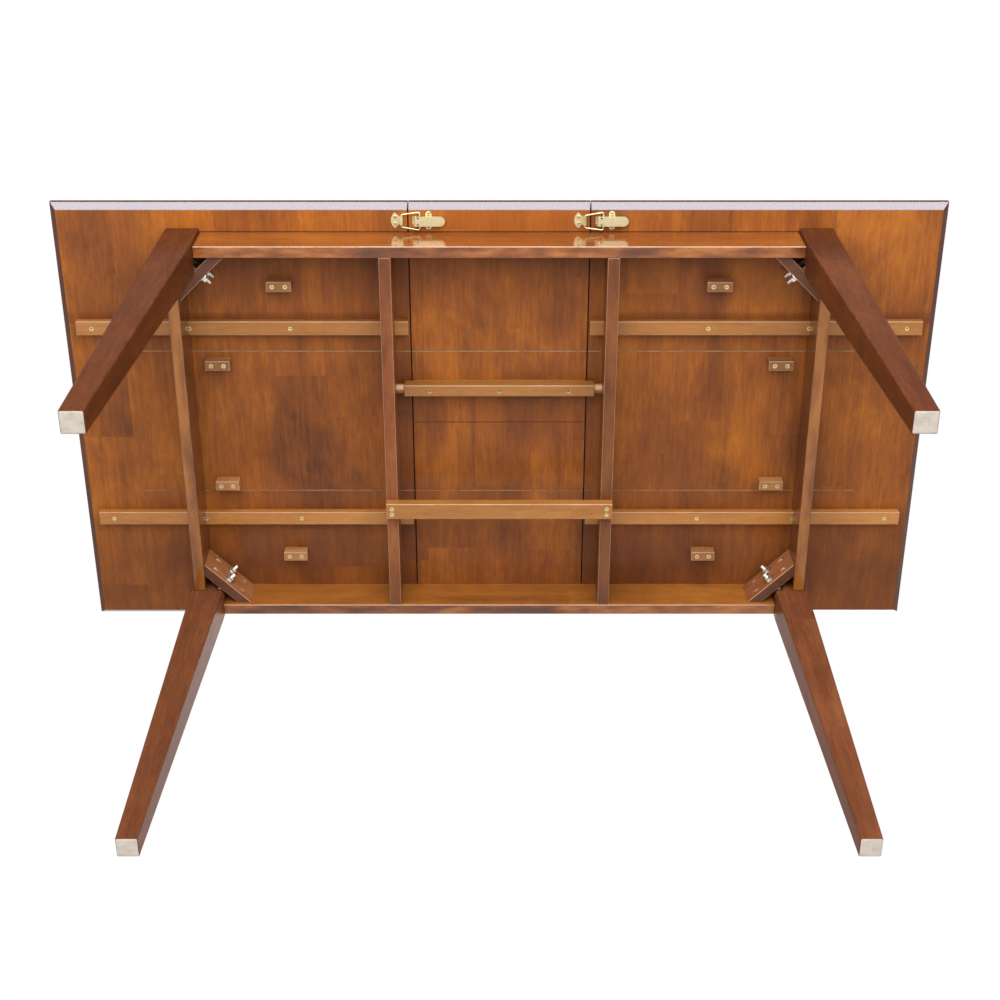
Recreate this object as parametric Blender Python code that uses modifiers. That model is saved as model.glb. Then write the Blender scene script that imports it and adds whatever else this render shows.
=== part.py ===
"""Butterfly leaf dining table, drawn out with its leaf in place.

Metres, +Z up. The origin is on the floor under the middle of the table, +X runs along its length
and -Y is the front, where the latches are. The end tops slide along X on runners, and the leaf
folds at its middle and turns about the round tenons of its pivot bar.
"""

from math import asin, cos, degrees, pi, radians, sin, sqrt

import bmesh
import bpy
from mathutils import Matrix, Vector

# Overall
TABLE_LENGTH = 1.524
TABLE_WIDTH = 0.8128
TABLE_HEIGHT = 0.762

# Tops and leaf
TOP_THICKNESS = 0.021
TOP_SQUARE_EDGE = 0.0085
TOP_UNDER_BEVEL = 0.011
TOP_EASED_EDGE = 0.0008
LEAF_WIDTH = 0.3084
SEAM_GAP = 0.001
FOLD_GAP = 0.0006
FOLD_AXIS_RISE = 0.0003
KERF_OFFSET = 0.138
KERF_WIDTH = 0.0025
KERF_DEPTH = 0.002
KERF_END_INSET = 0.11

# Frame. The overhangs are those of the top over the frame, at the ends with the tops pushed shut.
CLOSED_END_OVERHANG = 0.0397
SIDE_OVERHANG = 0.042
LEG_SIZE = 0.0576
LEG_FOOT_SIZE = 0.034
LEG_SQUARE_BELOW_APRON = 0.016
LEG_EASED_EDGE = 0.0025
APRON_HEIGHT = 0.076
APRON_THICKNESS = 0.02
APRON_SETBACK = 0.0075
RAIL_THICKNESS = 0.0205
RAIL_FROM_LEAF = 0.0268
WOOD_EASED_EDGE = 0.001

# Corner blocks and hanger bolts
BLOCK_SPAN = 0.081
BLOCK_THICKNESS = 0.018
BLOCK_DROP = 0.008
BLOCK_HEIGHT = 0.06
BLOCK_TO_LEG = 0.009
BOLT_DIAMETER = 0.0078
BOLT_SPACING = 0.03
BOLT_IN_LEG = 0.022
BOLT_TAIL = 0.017
NUT_ACROSS_FLATS = 0.0127
NUT_HEIGHT = 0.0066
WASHER_DIAMETER = 0.019
WASHER_THICKNESS = 0.0016

# Runners and stops
RUNNER_WIDTH = 0.026
RUNNER_HEIGHT = 0.017
RUNNER_FLARE = 0.002
RUNNER_OFFSET = 0.1875
RUNNER_END_INSET = 0.027
RUNNER_SEAM_INSET = 0.0025
STOP_LENGTH = 0.043
STOP_WIDTH = 0.018
STOP_HEIGHT = 0.022
OPEN_STOP_OFFSET = 0.1185
CLOSE_STOP_OFFSET = 0.2655
OUTWARD_TRAVEL = 0.024

# Leaf pivot and support
PIVOT_BAR_WIDTH = 0.021
PIVOT_BAR_HEIGHT = 0.028
PIVOT_BAR_SHOULDER_INSET = 0.0042
PIVOT_BAR_END_OVERHANG = 0.0133
PIVOT_DROP = 0.0165
PIVOT_FROM_FOLD = 0.0735
TENON_DIAMETER = 0.0185
TENON_SHORT_OF_RAIL = 0.002
SUPPORT_BAR_WIDTH = 0.03
SUPPORT_BAR_HEIGHT = 0.018
SUPPORT_BAR_OFFSET = 0.132

# Countersunk holes for wood screws, and the pockets of the corner blocks' screws
SINK_DIAMETER = 0.0086
SINK_DEPTH = 0.0034
SINK_FLOOR_DIAMETER = 0.0032
SINK_SIDES = 12
RUNNER_SCREW_INSETS = (0.027, 0.197, 0.372)
STOP_SCREW_SPACING = 0.022
PIVOT_SCREW_SPACING = 0.122
SUPPORT_SCREW_SPACING = 0.011
POCKET_DIAMETER = 0.0075
POCKET_DEPTH = 0.006
POCKET_INSET = 0.015
POCKET_SPACING = 0.032

# Concealed hinges
HINGE_DIAMETER = 0.014
HINGE_DEPTH = 0.02
HINGE_SPACING = 0.19

# Latches. Lengths along X run from the seam towards +X, and drops are below the tops' underside.
LATCH_FROM_EDGE = 0.0285
LATCH_METAL = 0.0012
STRIKE_FAR_END = -0.0283
STRIKE_FAN_RADIUS = 0.0175
STRIKE_FAN_HALF_ANGLE = 53
STRIKE_NECK_X = -0.0142
STRIKE_NECK_WIDTH = 0.0136
HOOK_WIDTH = 0.016
HOOK_WIRE_X = -0.0105
HOOK_WIRE_DROP = 0.004
BAIL_WIRE_DIAMETER = 0.0026
BAIL_HOOK_WIDTH = 0.0225
BAIL_LEVER_WIDTH = 0.0305
BAIL_CORNER_RADIUS = 0.0032
BAIL_PIVOT_X = 0.021
BAIL_PIVOT_DROP = 0.006
OPEN_PIVOT_CLEARANCE = 0.001
LEVER_PIVOT_X = 0.014
LEVER_PIVOT_DROP = 0.0055
LEVER_WIDTH = 0.0168
LEVER_TIP_X = 0.0636
LEVER_TIP_LENGTH = 0.0115
LEVER_TIP_RISE = 0.0012
LEVER_EYE_X = 0.0178
LEVER_EYE_DIAMETER = 0.0034
LEVER_NOSE_RADIUS = 0.0046
LEVER_FLANGE_DROP = 0.0027
BASE_NEAR_END = 0.008
BASE_FAR_END = 0.046
BASE_WIDTH = 0.014
BASE_TAB_X = 0.0355
BASE_TAB_RADIUS = 0.0052
BASE_TAB_SPAN = 0.033
EAR_LENGTH = 0.005
LATCH_PIN_DIAMETER = 0.003

# Gaps
SEAT_GAP = 0.0003
SLIDE_GAP = 0.0006
TURN_GAP = 0.0003

# Places worked out from the sizes above
UNDERSIDE = TABLE_HEIGHT - TOP_THICKNESS
FRAME_TOP = UNDERSIDE - SEAT_GAP
APRON_BOTTOM = FRAME_TOP - APRON_HEIGHT
SEAM_X = LEAF_WIDTH / 2 + SEAM_GAP
FRAME_LENGTH = TABLE_LENGTH - 2 * SEAM_X - 2 * CLOSED_END_OVERHANG
FRAME_WIDTH = TABLE_WIDTH - 2 * SIDE_OVERHANG
APRON_OUTER_X = FRAME_LENGTH / 2 - APRON_SETBACK
APRON_INNER_X = APRON_OUTER_X - APRON_THICKNESS
APRON_OUTER_Y = FRAME_WIDTH / 2 - APRON_SETBACK
APRON_INNER_Y = APRON_OUTER_Y - APRON_THICKNESS
LEG_INNER_X = FRAME_LENGTH / 2 - LEG_SIZE
LEG_INNER_Y = FRAME_WIDTH / 2 - LEG_SIZE
RAIL_INNER_X = LEAF_WIDTH / 2 + RAIL_FROM_LEAF
RAIL_OUTER_X = RAIL_INNER_X + RAIL_THICKNESS
RAIL_MIDDLE_X = RAIL_INNER_X + RAIL_THICKNESS / 2
PIVOT_Y = -PIVOT_FROM_FOLD
PIVOT_Z = UNDERSIDE - PIVOT_DROP
FOLD_Z = TABLE_HEIGHT + FOLD_AXIS_RISE
LATCH_Y = LATCH_FROM_EDGE - TABLE_WIDTH / 2
BAR_END_DROP = 2 * PIVOT_DROP - PIVOT_BAR_HEIGHT
HOOK_DROP = HOOK_WIRE_DROP + BAIL_WIRE_DIAMETER / 2 + SEAT_GAP + LATCH_METAL
LEVER_BACK_DROP = LEVER_PIVOT_DROP + LEVER_NOSE_RADIUS

for leftover in list(bpy.data.objects):
    bpy.data.objects.remove(leftover)
table = bpy.data.collections.new("butterfly_leaf_dining_table")
cutters = bpy.data.collections.new("cutters")
bpy.context.scene.collection.children.link(table)
bpy.context.scene.collection.children.link(cutters)


# Materials

def material(name, colour, roughness, metallic=0.0):
    made = bpy.data.materials.new(name)
    made.use_nodes = True
    shader = made.node_tree.nodes["Principled BSDF"]
    shader.inputs["Base Color"].default_value = (*colour, 1)
    shader.inputs["Roughness"].default_value = roughness
    shader.inputs["Metallic"].default_value = metallic
    return made


STAINED_TOP = material("stained_top", (0.28, 0.095, 0.034), 0.3)
STAINED_FRAME = material("stained_frame", (0.16, 0.05, 0.026), 0.35)
PLAIN_BAR = material("plain_bar", (0.38, 0.17, 0.06), 0.5)
PALE_BLOCK = material("pale_block", (0.5, 0.3, 0.12), 0.6)
BRASS = material("brass", (0.8, 0.68, 0.35), 0.3, 1.0)
ZINC = material("zinc", (0.6, 0.6, 0.58), 0.35, 1.0)


# Ways of making a solid

def add_object(name, mesh, finish, place=Matrix()):
    made = bpy.data.objects.new(name, mesh)
    made.matrix_world = place
    if finish is None:
        cutters.objects.link(made)
        made.hide_render = True
        made.display_type = "WIRE"
    else:
        table.objects.link(made)
        mesh.materials.append(finish)
    return made


def mesh_from(name, shape):
    bmesh.ops.recalc_face_normals(shape, faces=shape.faces)
    mesh = bpy.data.meshes.new(name)
    shape.to_mesh(mesh)
    shape.free()
    return mesh


def grow_downward(shape):
    """Extrudes the lowest face and returns the new corners, still in their old place."""
    below = min(shape.faces, key=lambda face: face.calc_center_median().z)
    return bmesh.ops.extrude_discrete_faces(shape, faces=[below])["faces"][0].verts


def box(name, low, high, finish=None, turn=0.0):
    """A block between two corners, turned about its own upright axis."""
    low, high = Vector(low), Vector(high)
    shape = bmesh.new()
    bmesh.ops.create_cube(shape, size=1)
    bmesh.ops.scale(shape, vec=high - low, verts=shape.verts)
    place = Matrix.Translation((low + high) / 2) @ Matrix.Rotation(turn, 4, "Z")
    return add_object(name, mesh_from(name, shape), finish, place)


def rod(name, radius, start, end, finish=None, sides=24, end_radius=None):
    """A round bar, a cone, or a bar of few sides such as a nut, between two points."""
    start, end = Vector(start), Vector(end)
    along = end - start
    if end_radius is None:
        end_radius = radius
    shape = bmesh.new()
    bmesh.ops.create_cone(
        shape, cap_ends=True, segments=sides, radius1=radius, radius2=end_radius, depth=along.length
    )
    place = Matrix.Translation((start + end) / 2) @ along.to_track_quat("Z", "Y").to_matrix().to_4x4()
    mesh = mesh_from(name, shape)
    if sides > 6:
        mesh.shade_smooth()
        mesh.set_sharp_from_angle(angle=radians(40))
    return add_object(name, mesh, finish, place)


# How an outline's two axes and its thickness lie in the table's frame
PLAN = Matrix.Identity(4)
SIDE = Matrix.Rotation(pi / 2, 4, "X")
END = Matrix.Rotation(pi / 2, 4, "Z") @ Matrix.Rotation(pi / 2, 4, "X")


def prism(name, outline, lie, centre, thickness, finish=None):
    """A flat outline, drawn in PLAN (x, y), SIDE (x, z) or END (y, z), given a thickness."""
    curve = bpy.data.curves.new(name, "CURVE")
    curve.dimensions = "2D"
    curve.fill_mode = "BOTH"
    curve.extrude = thickness / 2
    spline = curve.splines.new("POLY")
    spline.points.add(len(outline) - 1)
    for point, (u, v) in zip(spline.points, outline):
        point.co = (u, v, 0, 1)
    spline.use_cyclic_u = True
    drawn = bpy.data.objects.new(name + "_outline", curve)
    table.objects.link(drawn)
    mesh = bpy.data.meshes.new_from_object(drawn.evaluated_get(bpy.context.evaluated_depsgraph_get()))
    mesh.name = name
    bpy.data.objects.remove(drawn)
    shape = bmesh.new()
    shape.from_mesh(mesh)
    bmesh.ops.remove_doubles(shape, verts=shape.verts, dist=1e-6)
    flat = radians(0.5)
    bmesh.ops.dissolve_limit(shape, angle_limit=flat, verts=shape.verts, edges=shape.edges)
    bmesh.ops.recalc_face_normals(shape, faces=shape.faces)
    shape.to_mesh(mesh)
    shape.free()
    return add_object(name, mesh, finish, Matrix.Translation(centre) @ lie)


def arc(centre, radius, start, end, steps):
    """Points of a round stretch of an outline, with its angles in degrees."""
    turns = [radians(start + (end - start) * step / steps) for step in range(steps + 1)]
    return [(centre[0] + radius * cos(turn), centre[1] + radius * sin(turn)) for turn in turns]


def boolean(piece, tool, operation, solver="EXACT"):
    modifier = piece.modifiers.new(tool.name, "BOOLEAN")
    modifier.operation = operation
    modifier.solver = solver
    modifier.object = tool
    return piece


def cut(piece, tool):
    return boolean(piece, tool, "DIFFERENCE")


def cut_panel(piece, tool):
    """A cut in an eased panel, where the exact solver can leave a hole along the long easing."""
    return boolean(piece, tool, "DIFFERENCE", "MANIFOLD")


def fuse(piece, tool):
    return boolean(piece, tool, "UNION")


def countersink(piece, place):
    """The cone shaped mouth of a screw hole, in a face that looks down."""
    mouth = Vector(place) - Vector((0, 0, SEAT_GAP))
    floor = Vector(place) + Vector((0, 0, SINK_DEPTH))
    narrow = SINK_FLOOR_DIAMETER / 2
    slope = (SINK_DIAMETER / 2 - narrow) / SINK_DEPTH
    wide = SINK_DIAMETER / 2 + slope * SEAT_GAP
    name = f"{piece.name}_sink_{len(piece.modifiers)}"
    cut(piece, rod(name, wide, mouth, floor, sides=SINK_SIDES, end_radius=narrow))


def soften(piece, width):
    modifier = piece.modifiers.new("eased_edges", "BEVEL")
    modifier.width = width
    modifier.segments = 2
    modifier.limit_method = "ANGLE"
    modifier.angle_limit = radians(30)
    return piece


def axis_empty(name, place, parent=None):
    """An empty on a joint's axis, which carries the pieces that move there."""
    made = bpy.data.objects.new(name, None)
    table.objects.link(made)
    made.matrix_world = Matrix.Translation(place)
    if parent:
        ride(parent, made)
    return made


def ride(carrier, *pieces):
    bpy.context.view_layer.update()
    for piece in pieces:
        kept = piece.matrix_world.copy()
        piece.parent = carrier
        piece.matrix_parent_inverse = carrier.matrix_world.inverted()
        piece.matrix_world = kept


# Panels

def panel(name, low, high, bevelled, finish):
    """A top panel: a square edge above and a bevel below on the sides named in bevelled."""
    low, high = Vector(low), Vector(high)
    shape = bmesh.new()
    bmesh.ops.create_cube(shape, size=1)
    bmesh.ops.scale(shape, vec=(high.x - low.x, high.y - low.y, TOP_SQUARE_EDGE), verts=shape.verts)
    for vertex in grow_downward(shape):
        side_x = "left" if vertex.co.x < 0 else "right"
        side_y = "front" if vertex.co.y < 0 else "rear"
        vertex.co.z -= TOP_THICKNESS - TOP_SQUARE_EDGE
        if side_x in bevelled:
            vertex.co.x += TOP_UNDER_BEVEL if side_x == "left" else -TOP_UNDER_BEVEL
        if side_y in bevelled:
            vertex.co.y += TOP_UNDER_BEVEL if side_y == "front" else -TOP_UNDER_BEVEL
    middle = (low + high) / 2
    place = Matrix.Translation((middle.x, middle.y, TABLE_HEIGHT - TOP_SQUARE_EDGE / 2))
    return soften(add_object(name, mesh_from(name, shape), finish, place), TOP_EASED_EDGE)


def cut_kerf(piece, start, end, offset):
    half = KERF_WIDTH / 2
    low = (min(start, end), offset - half, UNDERSIDE - KERF_DEPTH)
    high = (max(start, end), offset + half, UNDERSIDE + KERF_DEPTH)
    cut_panel(piece, box(f"{piece.name}_kerf_{'front' if offset < 0 else 'rear'}", low, high))


def runner_section(grow):
    """The dovetail of a runner: narrow at the top panel and wide below."""
    foot = RUNNER_WIDTH / 2 + grow
    neck = foot - RUNNER_FLARE
    drop = RUNNER_HEIGHT + SEAT_GAP + grow
    return [(-foot, -drop), (foot, -drop), (neck, -SEAT_GAP + grow), (-neck, -SEAT_GAP + grow)]


def notch_for_runners(piece, middle_x, thickness):
    for place, sign in (("front", -1), ("rear", 1)):
        name = f"{piece.name}_notch_{place}"
        centre = (middle_x, sign * RUNNER_OFFSET, UNDERSIDE)
        cut(piece, prism(name, runner_section(SLIDE_GAP), END, centre, 2 * thickness))


def end_top(side, sign):
    """An end top with what is screwed under it. Sign is -1 for the left one and 1 for the right."""
    outer = sign * TABLE_LENGTH / 2
    seam = sign * SEAM_X
    half_width = TABLE_WIDTH / 2
    low = (min(outer, seam), -half_width, 0)
    high = (max(outer, seam), half_width, 0)
    top = panel(f"{side}_top", low, high, ("front", "rear", side), STAINED_TOP)
    carriage = axis_empty(f"{side}_top_slide", (seam, 0, UNDERSIDE))
    pieces = [top]
    for place, way in (("front", -1), ("rear", 1)):
        cut_kerf(top, seam - sign * KERF_WIDTH, outer - sign * KERF_END_INSET, way * KERF_OFFSET)
        start = seam + sign * RUNNER_SEAM_INSET
        end = outer - sign * RUNNER_END_INSET
        centre = ((start + end) / 2, way * RUNNER_OFFSET, UNDERSIDE)
        runner = prism(
            f"{side}_runner_{place}", runner_section(0), END, centre, abs(end - start), PLAIN_BAR
        )
        soften(runner, WOOD_EASED_EDGE)
        runner_foot = UNDERSIDE - SEAT_GAP - RUNNER_HEIGHT
        for inset in RUNNER_SCREW_INSETS:
            countersink(runner, (end - sign * inset, way * RUNNER_OFFSET, runner_foot))
        pieces.append(runner)
        open_end = APRON_INNER_X - OUTWARD_TRAVEL
        close_start = RAIL_OUTER_X + SEAM_X
        for kind, inner, offset in (
            ("open", open_end - STOP_LENGTH, OPEN_STOP_OFFSET),
            ("close", close_start, CLOSE_STOP_OFFSET),
        ):
            ends = sorted((sign * inner, sign * (inner + STOP_LENGTH)))
            middle = way * offset
            stop = box(
                f"{side}_{kind}_stop_{place}",
                (ends[0], middle - STOP_WIDTH / 2, UNDERSIDE - SEAT_GAP - STOP_HEIGHT),
                (ends[1], middle + STOP_WIDTH / 2, UNDERSIDE - SEAT_GAP),
                PALE_BLOCK,
            )
            soften(stop, WOOD_EASED_EDGE)
            foot = UNDERSIDE - SEAT_GAP - STOP_HEIGHT
            for shift in (-STOP_SCREW_SPACING / 2, STOP_SCREW_SPACING / 2):
                countersink(stop, (sum(ends) / 2 + shift, middle, foot))
            pieces.append(stop)
    ride(carriage, *pieces)
    return carriage


# Frame

def apron(name, low, high, finish=STAINED_FRAME):
    return soften(box(name, (*low, APRON_BOTTOM), (*high, FRAME_TOP), finish), WOOD_EASED_EDGE)


def aprons_and_rails():
    end_x = LEG_INNER_X - SEAT_GAP
    end_y = LEG_INNER_Y - SEAT_GAP
    apron("front_apron", (-end_x, -APRON_OUTER_Y), (end_x, -APRON_INNER_Y))
    apron("rear_apron", (-end_x, APRON_INNER_Y), (end_x, APRON_OUTER_Y))
    rail_end = APRON_INNER_Y - SEAT_GAP
    for side, sign in (("left", -1), ("right", 1)):
        faces = sorted((sign * APRON_INNER_X, sign * APRON_OUTER_X))
        piece = apron(f"{side}_apron", (faces[0], -end_y), (faces[1], end_y))
        notch_for_runners(piece, sum(faces) / 2, APRON_THICKNESS)
        faces = sorted((sign * RAIL_INNER_X, sign * RAIL_OUTER_X))
        rail = apron(f"{side}_cross_rail", (faces[0], -rail_end), (faces[1], rail_end), PLAIN_BAR)
        notch_for_runners(rail, sum(faces) / 2, RAIL_THICKNESS)
        reach = (sign * (RAIL_INNER_X - RAIL_THICKNESS), sign * (RAIL_OUTER_X + RAIL_THICKNESS))
        ends = [(x, PIVOT_Y, PIVOT_Z) for x in reach]
        cut(rail, rod(f"{side}_cross_rail_bore", TENON_DIAMETER / 2 + TURN_GAP, *ends))


def corner_line(corner, gap):
    """The x + y of the leg's flat or of a face of the corner block, in the table's +X +Y quarter."""
    return corner + gap * sqrt(2)


BLOCK_INNER_LINE = APRON_INNER_X + APRON_INNER_Y - BLOCK_SPAN
BLOCK_OUTER_LINE = corner_line(BLOCK_INNER_LINE, BLOCK_THICKNESS)
LEG_FLAT_LINE = corner_line(BLOCK_OUTER_LINE, BLOCK_TO_LEG)
BLOCK_TOP = FRAME_TOP - BLOCK_DROP
BOLT_OFFSET = (APRON_INNER_X - APRON_INNER_Y) / 2


def on_diagonal(line, sign_x, sign_y, z):
    """The point of a 45 degree line that is midway along the corner block."""
    return Vector((sign_x * (line / 2 + BOLT_OFFSET), sign_y * (line / 2 - BOLT_OFFSET), z))


def leg(name, sign_x, sign_y):
    """A square leg whose two inner faces taper to the foot, with a flat for the bolts."""
    square = APRON_HEIGHT + LEG_SQUARE_BELOW_APRON
    shape = bmesh.new()
    bmesh.ops.create_cube(shape, size=1)
    bmesh.ops.scale(shape, vec=(LEG_SIZE, LEG_SIZE, square), verts=shape.verts)
    for vertex in grow_downward(shape):
        vertex.co.z -= FRAME_TOP - square
        if vertex.co.x * sign_x < 0:
            vertex.co.x += sign_x * (LEG_SIZE - LEG_FOOT_SIZE)
        if vertex.co.y * sign_y < 0:
            vertex.co.y += sign_y * (LEG_SIZE - LEG_FOOT_SIZE)
    middle = Vector((FRAME_LENGTH - LEG_SIZE, FRAME_WIDTH - LEG_SIZE)) / 2
    place = Matrix.Translation((sign_x * middle.x, sign_y * middle.y, FRAME_TOP - square / 2))
    piece = soften(add_object(name, mesh_from(name, shape), STAINED_FRAME, place), LEG_EASED_EDGE)
    flat = on_diagonal(LEG_FLAT_LINE, sign_x, sign_y, FRAME_TOP)
    inward = Vector((-sign_x, -sign_y, 0)).normalized()
    cutter_middle = flat + inward * LEG_SIZE
    corner = Vector((LEG_SIZE, LEG_SIZE, square - LEG_SQUARE_BELOW_APRON))
    tool = box(f"{name}_flat", cutter_middle - corner, cutter_middle + corner, turn=pi / 4)
    return cut(piece, tool)


def block_pockets(block, sign_x, sign_y, middle_z):
    """Two pockets near each end of a corner block, bored square to the apron they screw into."""
    beside_x = (APRON_INNER_X - POCKET_INSET, BLOCK_INNER_LINE - APRON_INNER_X + POCKET_INSET)
    beside_y = (BLOCK_INNER_LINE - APRON_INNER_Y + POCKET_INSET, APRON_INNER_Y - POCKET_INSET)
    for (x, y), way in ((beside_x, Vector((sign_x, 0, 0))), (beside_y, Vector((0, sign_y, 0)))):
        for shift in (-POCKET_SPACING / 2, POCKET_SPACING / 2):
            mouth = Vector((sign_x * x, sign_y * y, middle_z + shift))
            name = f"{block.name}_pocket_{len(block.modifiers)}"
            ends = (mouth - way * POCKET_DEPTH, mouth + way * POCKET_DEPTH)
            cut(block, rod(name, POCKET_DIAMETER / 2, *ends, sides=SINK_SIDES))


def corner(place, sign_x, sign_y):
    """A leg, its corner block and the two hanger bolts that draw them together."""
    post = leg(f"leg_{place}", sign_x, sign_y)
    x, y = APRON_INNER_X - SEAT_GAP, APRON_INNER_Y - SEAT_GAP
    inner, outer = BLOCK_INNER_LINE, BLOCK_OUTER_LINE
    outline = [(x, inner - x), (x, outer - x), (outer - y, y), (inner - y, y)]
    outline = [(sign_x * u, sign_y * v) for u, v in outline]
    middle_z = BLOCK_TOP - BLOCK_HEIGHT / 2
    block = prism(
        f"corner_block_{place}", outline, PLAN, (0, 0, middle_z), BLOCK_HEIGHT, STAINED_FRAME
    )
    soften(block, WOOD_EASED_EDGE)
    block_pockets(block, sign_x, sign_y, middle_z)
    inward = Vector((-sign_x, -sign_y, 0)).normalized()
    for level, way in (("upper", 1), ("lower", -1)):
        z = middle_z + way * BOLT_SPACING / 2
        face = on_diagonal(BLOCK_INNER_LINE, sign_x, sign_y, z)
        deep = on_diagonal(LEG_FLAT_LINE, sign_x, sign_y, z) - inward * BOLT_IN_LEG
        name = f"hanger_bolt_{place}_{level}"
        bore = BOLT_DIAMETER / 2 + SEAT_GAP
        cut(block, rod(f"{name}_block_bore", bore, face + inward * BLOCK_THICKNESS, deep, sides=16))
        cut(post, rod(f"{name}_leg_bore", bore, face, deep - inward * SEAT_GAP, sides=16))
        bolt = rod(name, BOLT_DIAMETER / 2, deep, face + inward * BOLT_TAIL, ZINC, sides=16)
        seat = face + inward * SEAT_GAP
        washer_top = seat + inward * WASHER_THICKNESS
        fuse(bolt, rod(f"{name}_washer", WASHER_DIAMETER / 2, seat, washer_top, sides=20))
        nut = NUT_ACROSS_FLATS / sqrt(3)
        start = seat + inward * WASHER_THICKNESS / 2
        fuse(bolt, rod(f"{name}_nut", nut, start, washer_top + inward * NUT_HEIGHT, sides=6))


def support_bar():
    """The bar that the folded leaf lies on, screwed under the two cross rails."""
    top = APRON_BOTTOM - SEAT_GAP
    half = SUPPORT_BAR_WIDTH / 2
    low = (-RAIL_OUTER_X, SUPPORT_BAR_OFFSET - half, top - SUPPORT_BAR_HEIGHT)
    high = (RAIL_OUTER_X, SUPPORT_BAR_OFFSET + half, top)
    bar = soften(box("leaf_support_bar", low, high, PLAIN_BAR), WOOD_EASED_EDGE)
    for x in (-RAIL_MIDDLE_X, RAIL_MIDDLE_X):
        for shift in (-SUPPORT_SCREW_SPACING / 2, SUPPORT_SCREW_SPACING / 2):
            countersink(bar, (x, SUPPORT_BAR_OFFSET + shift, low[2]))


# Leaf

def hinge_barrels(half, sign, piece):
    """Concealed hinge barrels, flush in bores of a leaf half's folding edge."""
    barrels = []
    face = sign * FOLD_GAP / 2
    z = TABLE_HEIGHT - TOP_THICKNESS / 2
    for side, way in (("left", -1), ("right", 1)):
        x = way * HINGE_SPACING / 2
        name = f"hinge_barrel_{half}_{side}"
        deep = (x, face + sign * (HINGE_DEPTH + SEAT_GAP), z)
        cut_panel(piece, rod(f"{name}_bore", HINGE_DIAMETER / 2 + SEAT_GAP, (x, -face, z), deep))
        start = (x, face, z)
        end = (x, face + sign * HINGE_DEPTH, z)
        barrels.append(rod(name, HINGE_DIAMETER / 2, start, end, BRASS))
    return barrels


def leaf_half(half, sign):
    edge = sign * TABLE_WIDTH / 2
    fold = sign * FOLD_GAP / 2
    low = (-LEAF_WIDTH / 2, min(edge, fold), 0)
    high = (LEAF_WIDTH / 2, max(edge, fold), 0)
    piece = panel(f"leaf_{half}_half", low, high, (half,), STAINED_TOP)
    cut_kerf(piece, -LEAF_WIDTH, LEAF_WIDTH, sign * KERF_OFFSET)
    return [piece, *hinge_barrels(half, sign, piece)]


def pivot_bar():
    """The bar under the leaf's front half: its ends are notched and turned to round tenons."""
    half = PIVOT_BAR_WIDTH / 2
    bottom = UNDERSIDE - PIVOT_BAR_HEIGHT
    end = LEAF_WIDTH / 2 + PIVOT_BAR_END_OVERHANG
    shoulder = LEAF_WIDTH / 2 - PIVOT_BAR_SHOULDER_INSET
    step = UNDERSIDE - BAR_END_DROP
    top = UNDERSIDE - SEAT_GAP
    outline = [
        (-end, bottom),
        (end, bottom),
        (end, step),
        (shoulder, step),
        (shoulder, top),
        (-shoulder, top),
        (-shoulder, step),
        (-end, step),
    ]
    bar = prism("pivot_bar", outline, SIDE, (0, PIVOT_Y, 0), 2 * half, PLAIN_BAR)
    soften(bar, WOOD_EASED_EDGE)
    tip = RAIL_OUTER_X - TENON_SHORT_OF_RAIL
    for side, sign in (("left", -1), ("right", 1)):
        ends = [(sign * x, PIVOT_Y, PIVOT_Z) for x in (shoulder, tip)]
        fuse(bar, rod(f"pivot_bar_tenon_{side}", TENON_DIAMETER / 2, *ends))
    for x in (-PIVOT_SCREW_SPACING, 0, PIVOT_SCREW_SPACING):
        countersink(bar, (x, PIVOT_Y, bottom))
    return bar


# Latches, each placed by the x of its seam

def latch_point(seam, x, y, drop):
    return Vector((seam + x, LATCH_Y + y, UNDERSIDE - drop))


def latch_strike(name, seam):
    """A round fan of a plate with a narrow neck, whose end is folded into a hook for the bail."""
    middle_drop = SEAT_GAP + LATCH_METAL / 2
    web = HOOK_WIRE_X + BAIL_WIRE_DIAMETER / 2 + SEAT_GAP
    outside = web + LATCH_METAL
    lip = HOOK_WIRE_X - BAIL_WIRE_DIAMETER
    near, narrow, neck = web + LATCH_METAL / 2, HOOK_WIDTH / 2, STRIKE_NECK_WIDTH / 2
    fan_middle = (STRIKE_FAR_END + STRIKE_FAN_RADIUS, 0)
    start, end = 180 - STRIKE_FAN_HALF_ANGLE, 180 + STRIKE_FAN_HALF_ANGLE
    outline = [
        (lip, -narrow),
        (near, -narrow),
        (near, narrow),
        (lip, narrow),
        (STRIKE_NECK_X, neck),
        *arc(fan_middle, STRIKE_FAN_RADIUS, start, end, 12),
        (STRIKE_NECK_X, -neck),
    ]
    centre = latch_point(seam, 0, 0, middle_drop)
    plate = prism(name, outline, PLAN, centre, LATCH_METAL, BRASS)
    hook = [
        (web, -middle_drop),
        (outside, -middle_drop),
        (outside, LATCH_METAL / 2 - HOOK_DROP),
        (near, -HOOK_DROP),
        (lip, -HOOK_DROP),
        (lip, LATCH_METAL - HOOK_DROP),
        (web, LATCH_METAL - HOOK_DROP),
    ]
    hook_width = HOOK_WIDTH - LATCH_METAL
    return fuse(plate, prism(f"{name}_hook", hook, SIDE, latch_point(seam, 0, 0, 0), hook_width))


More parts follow.
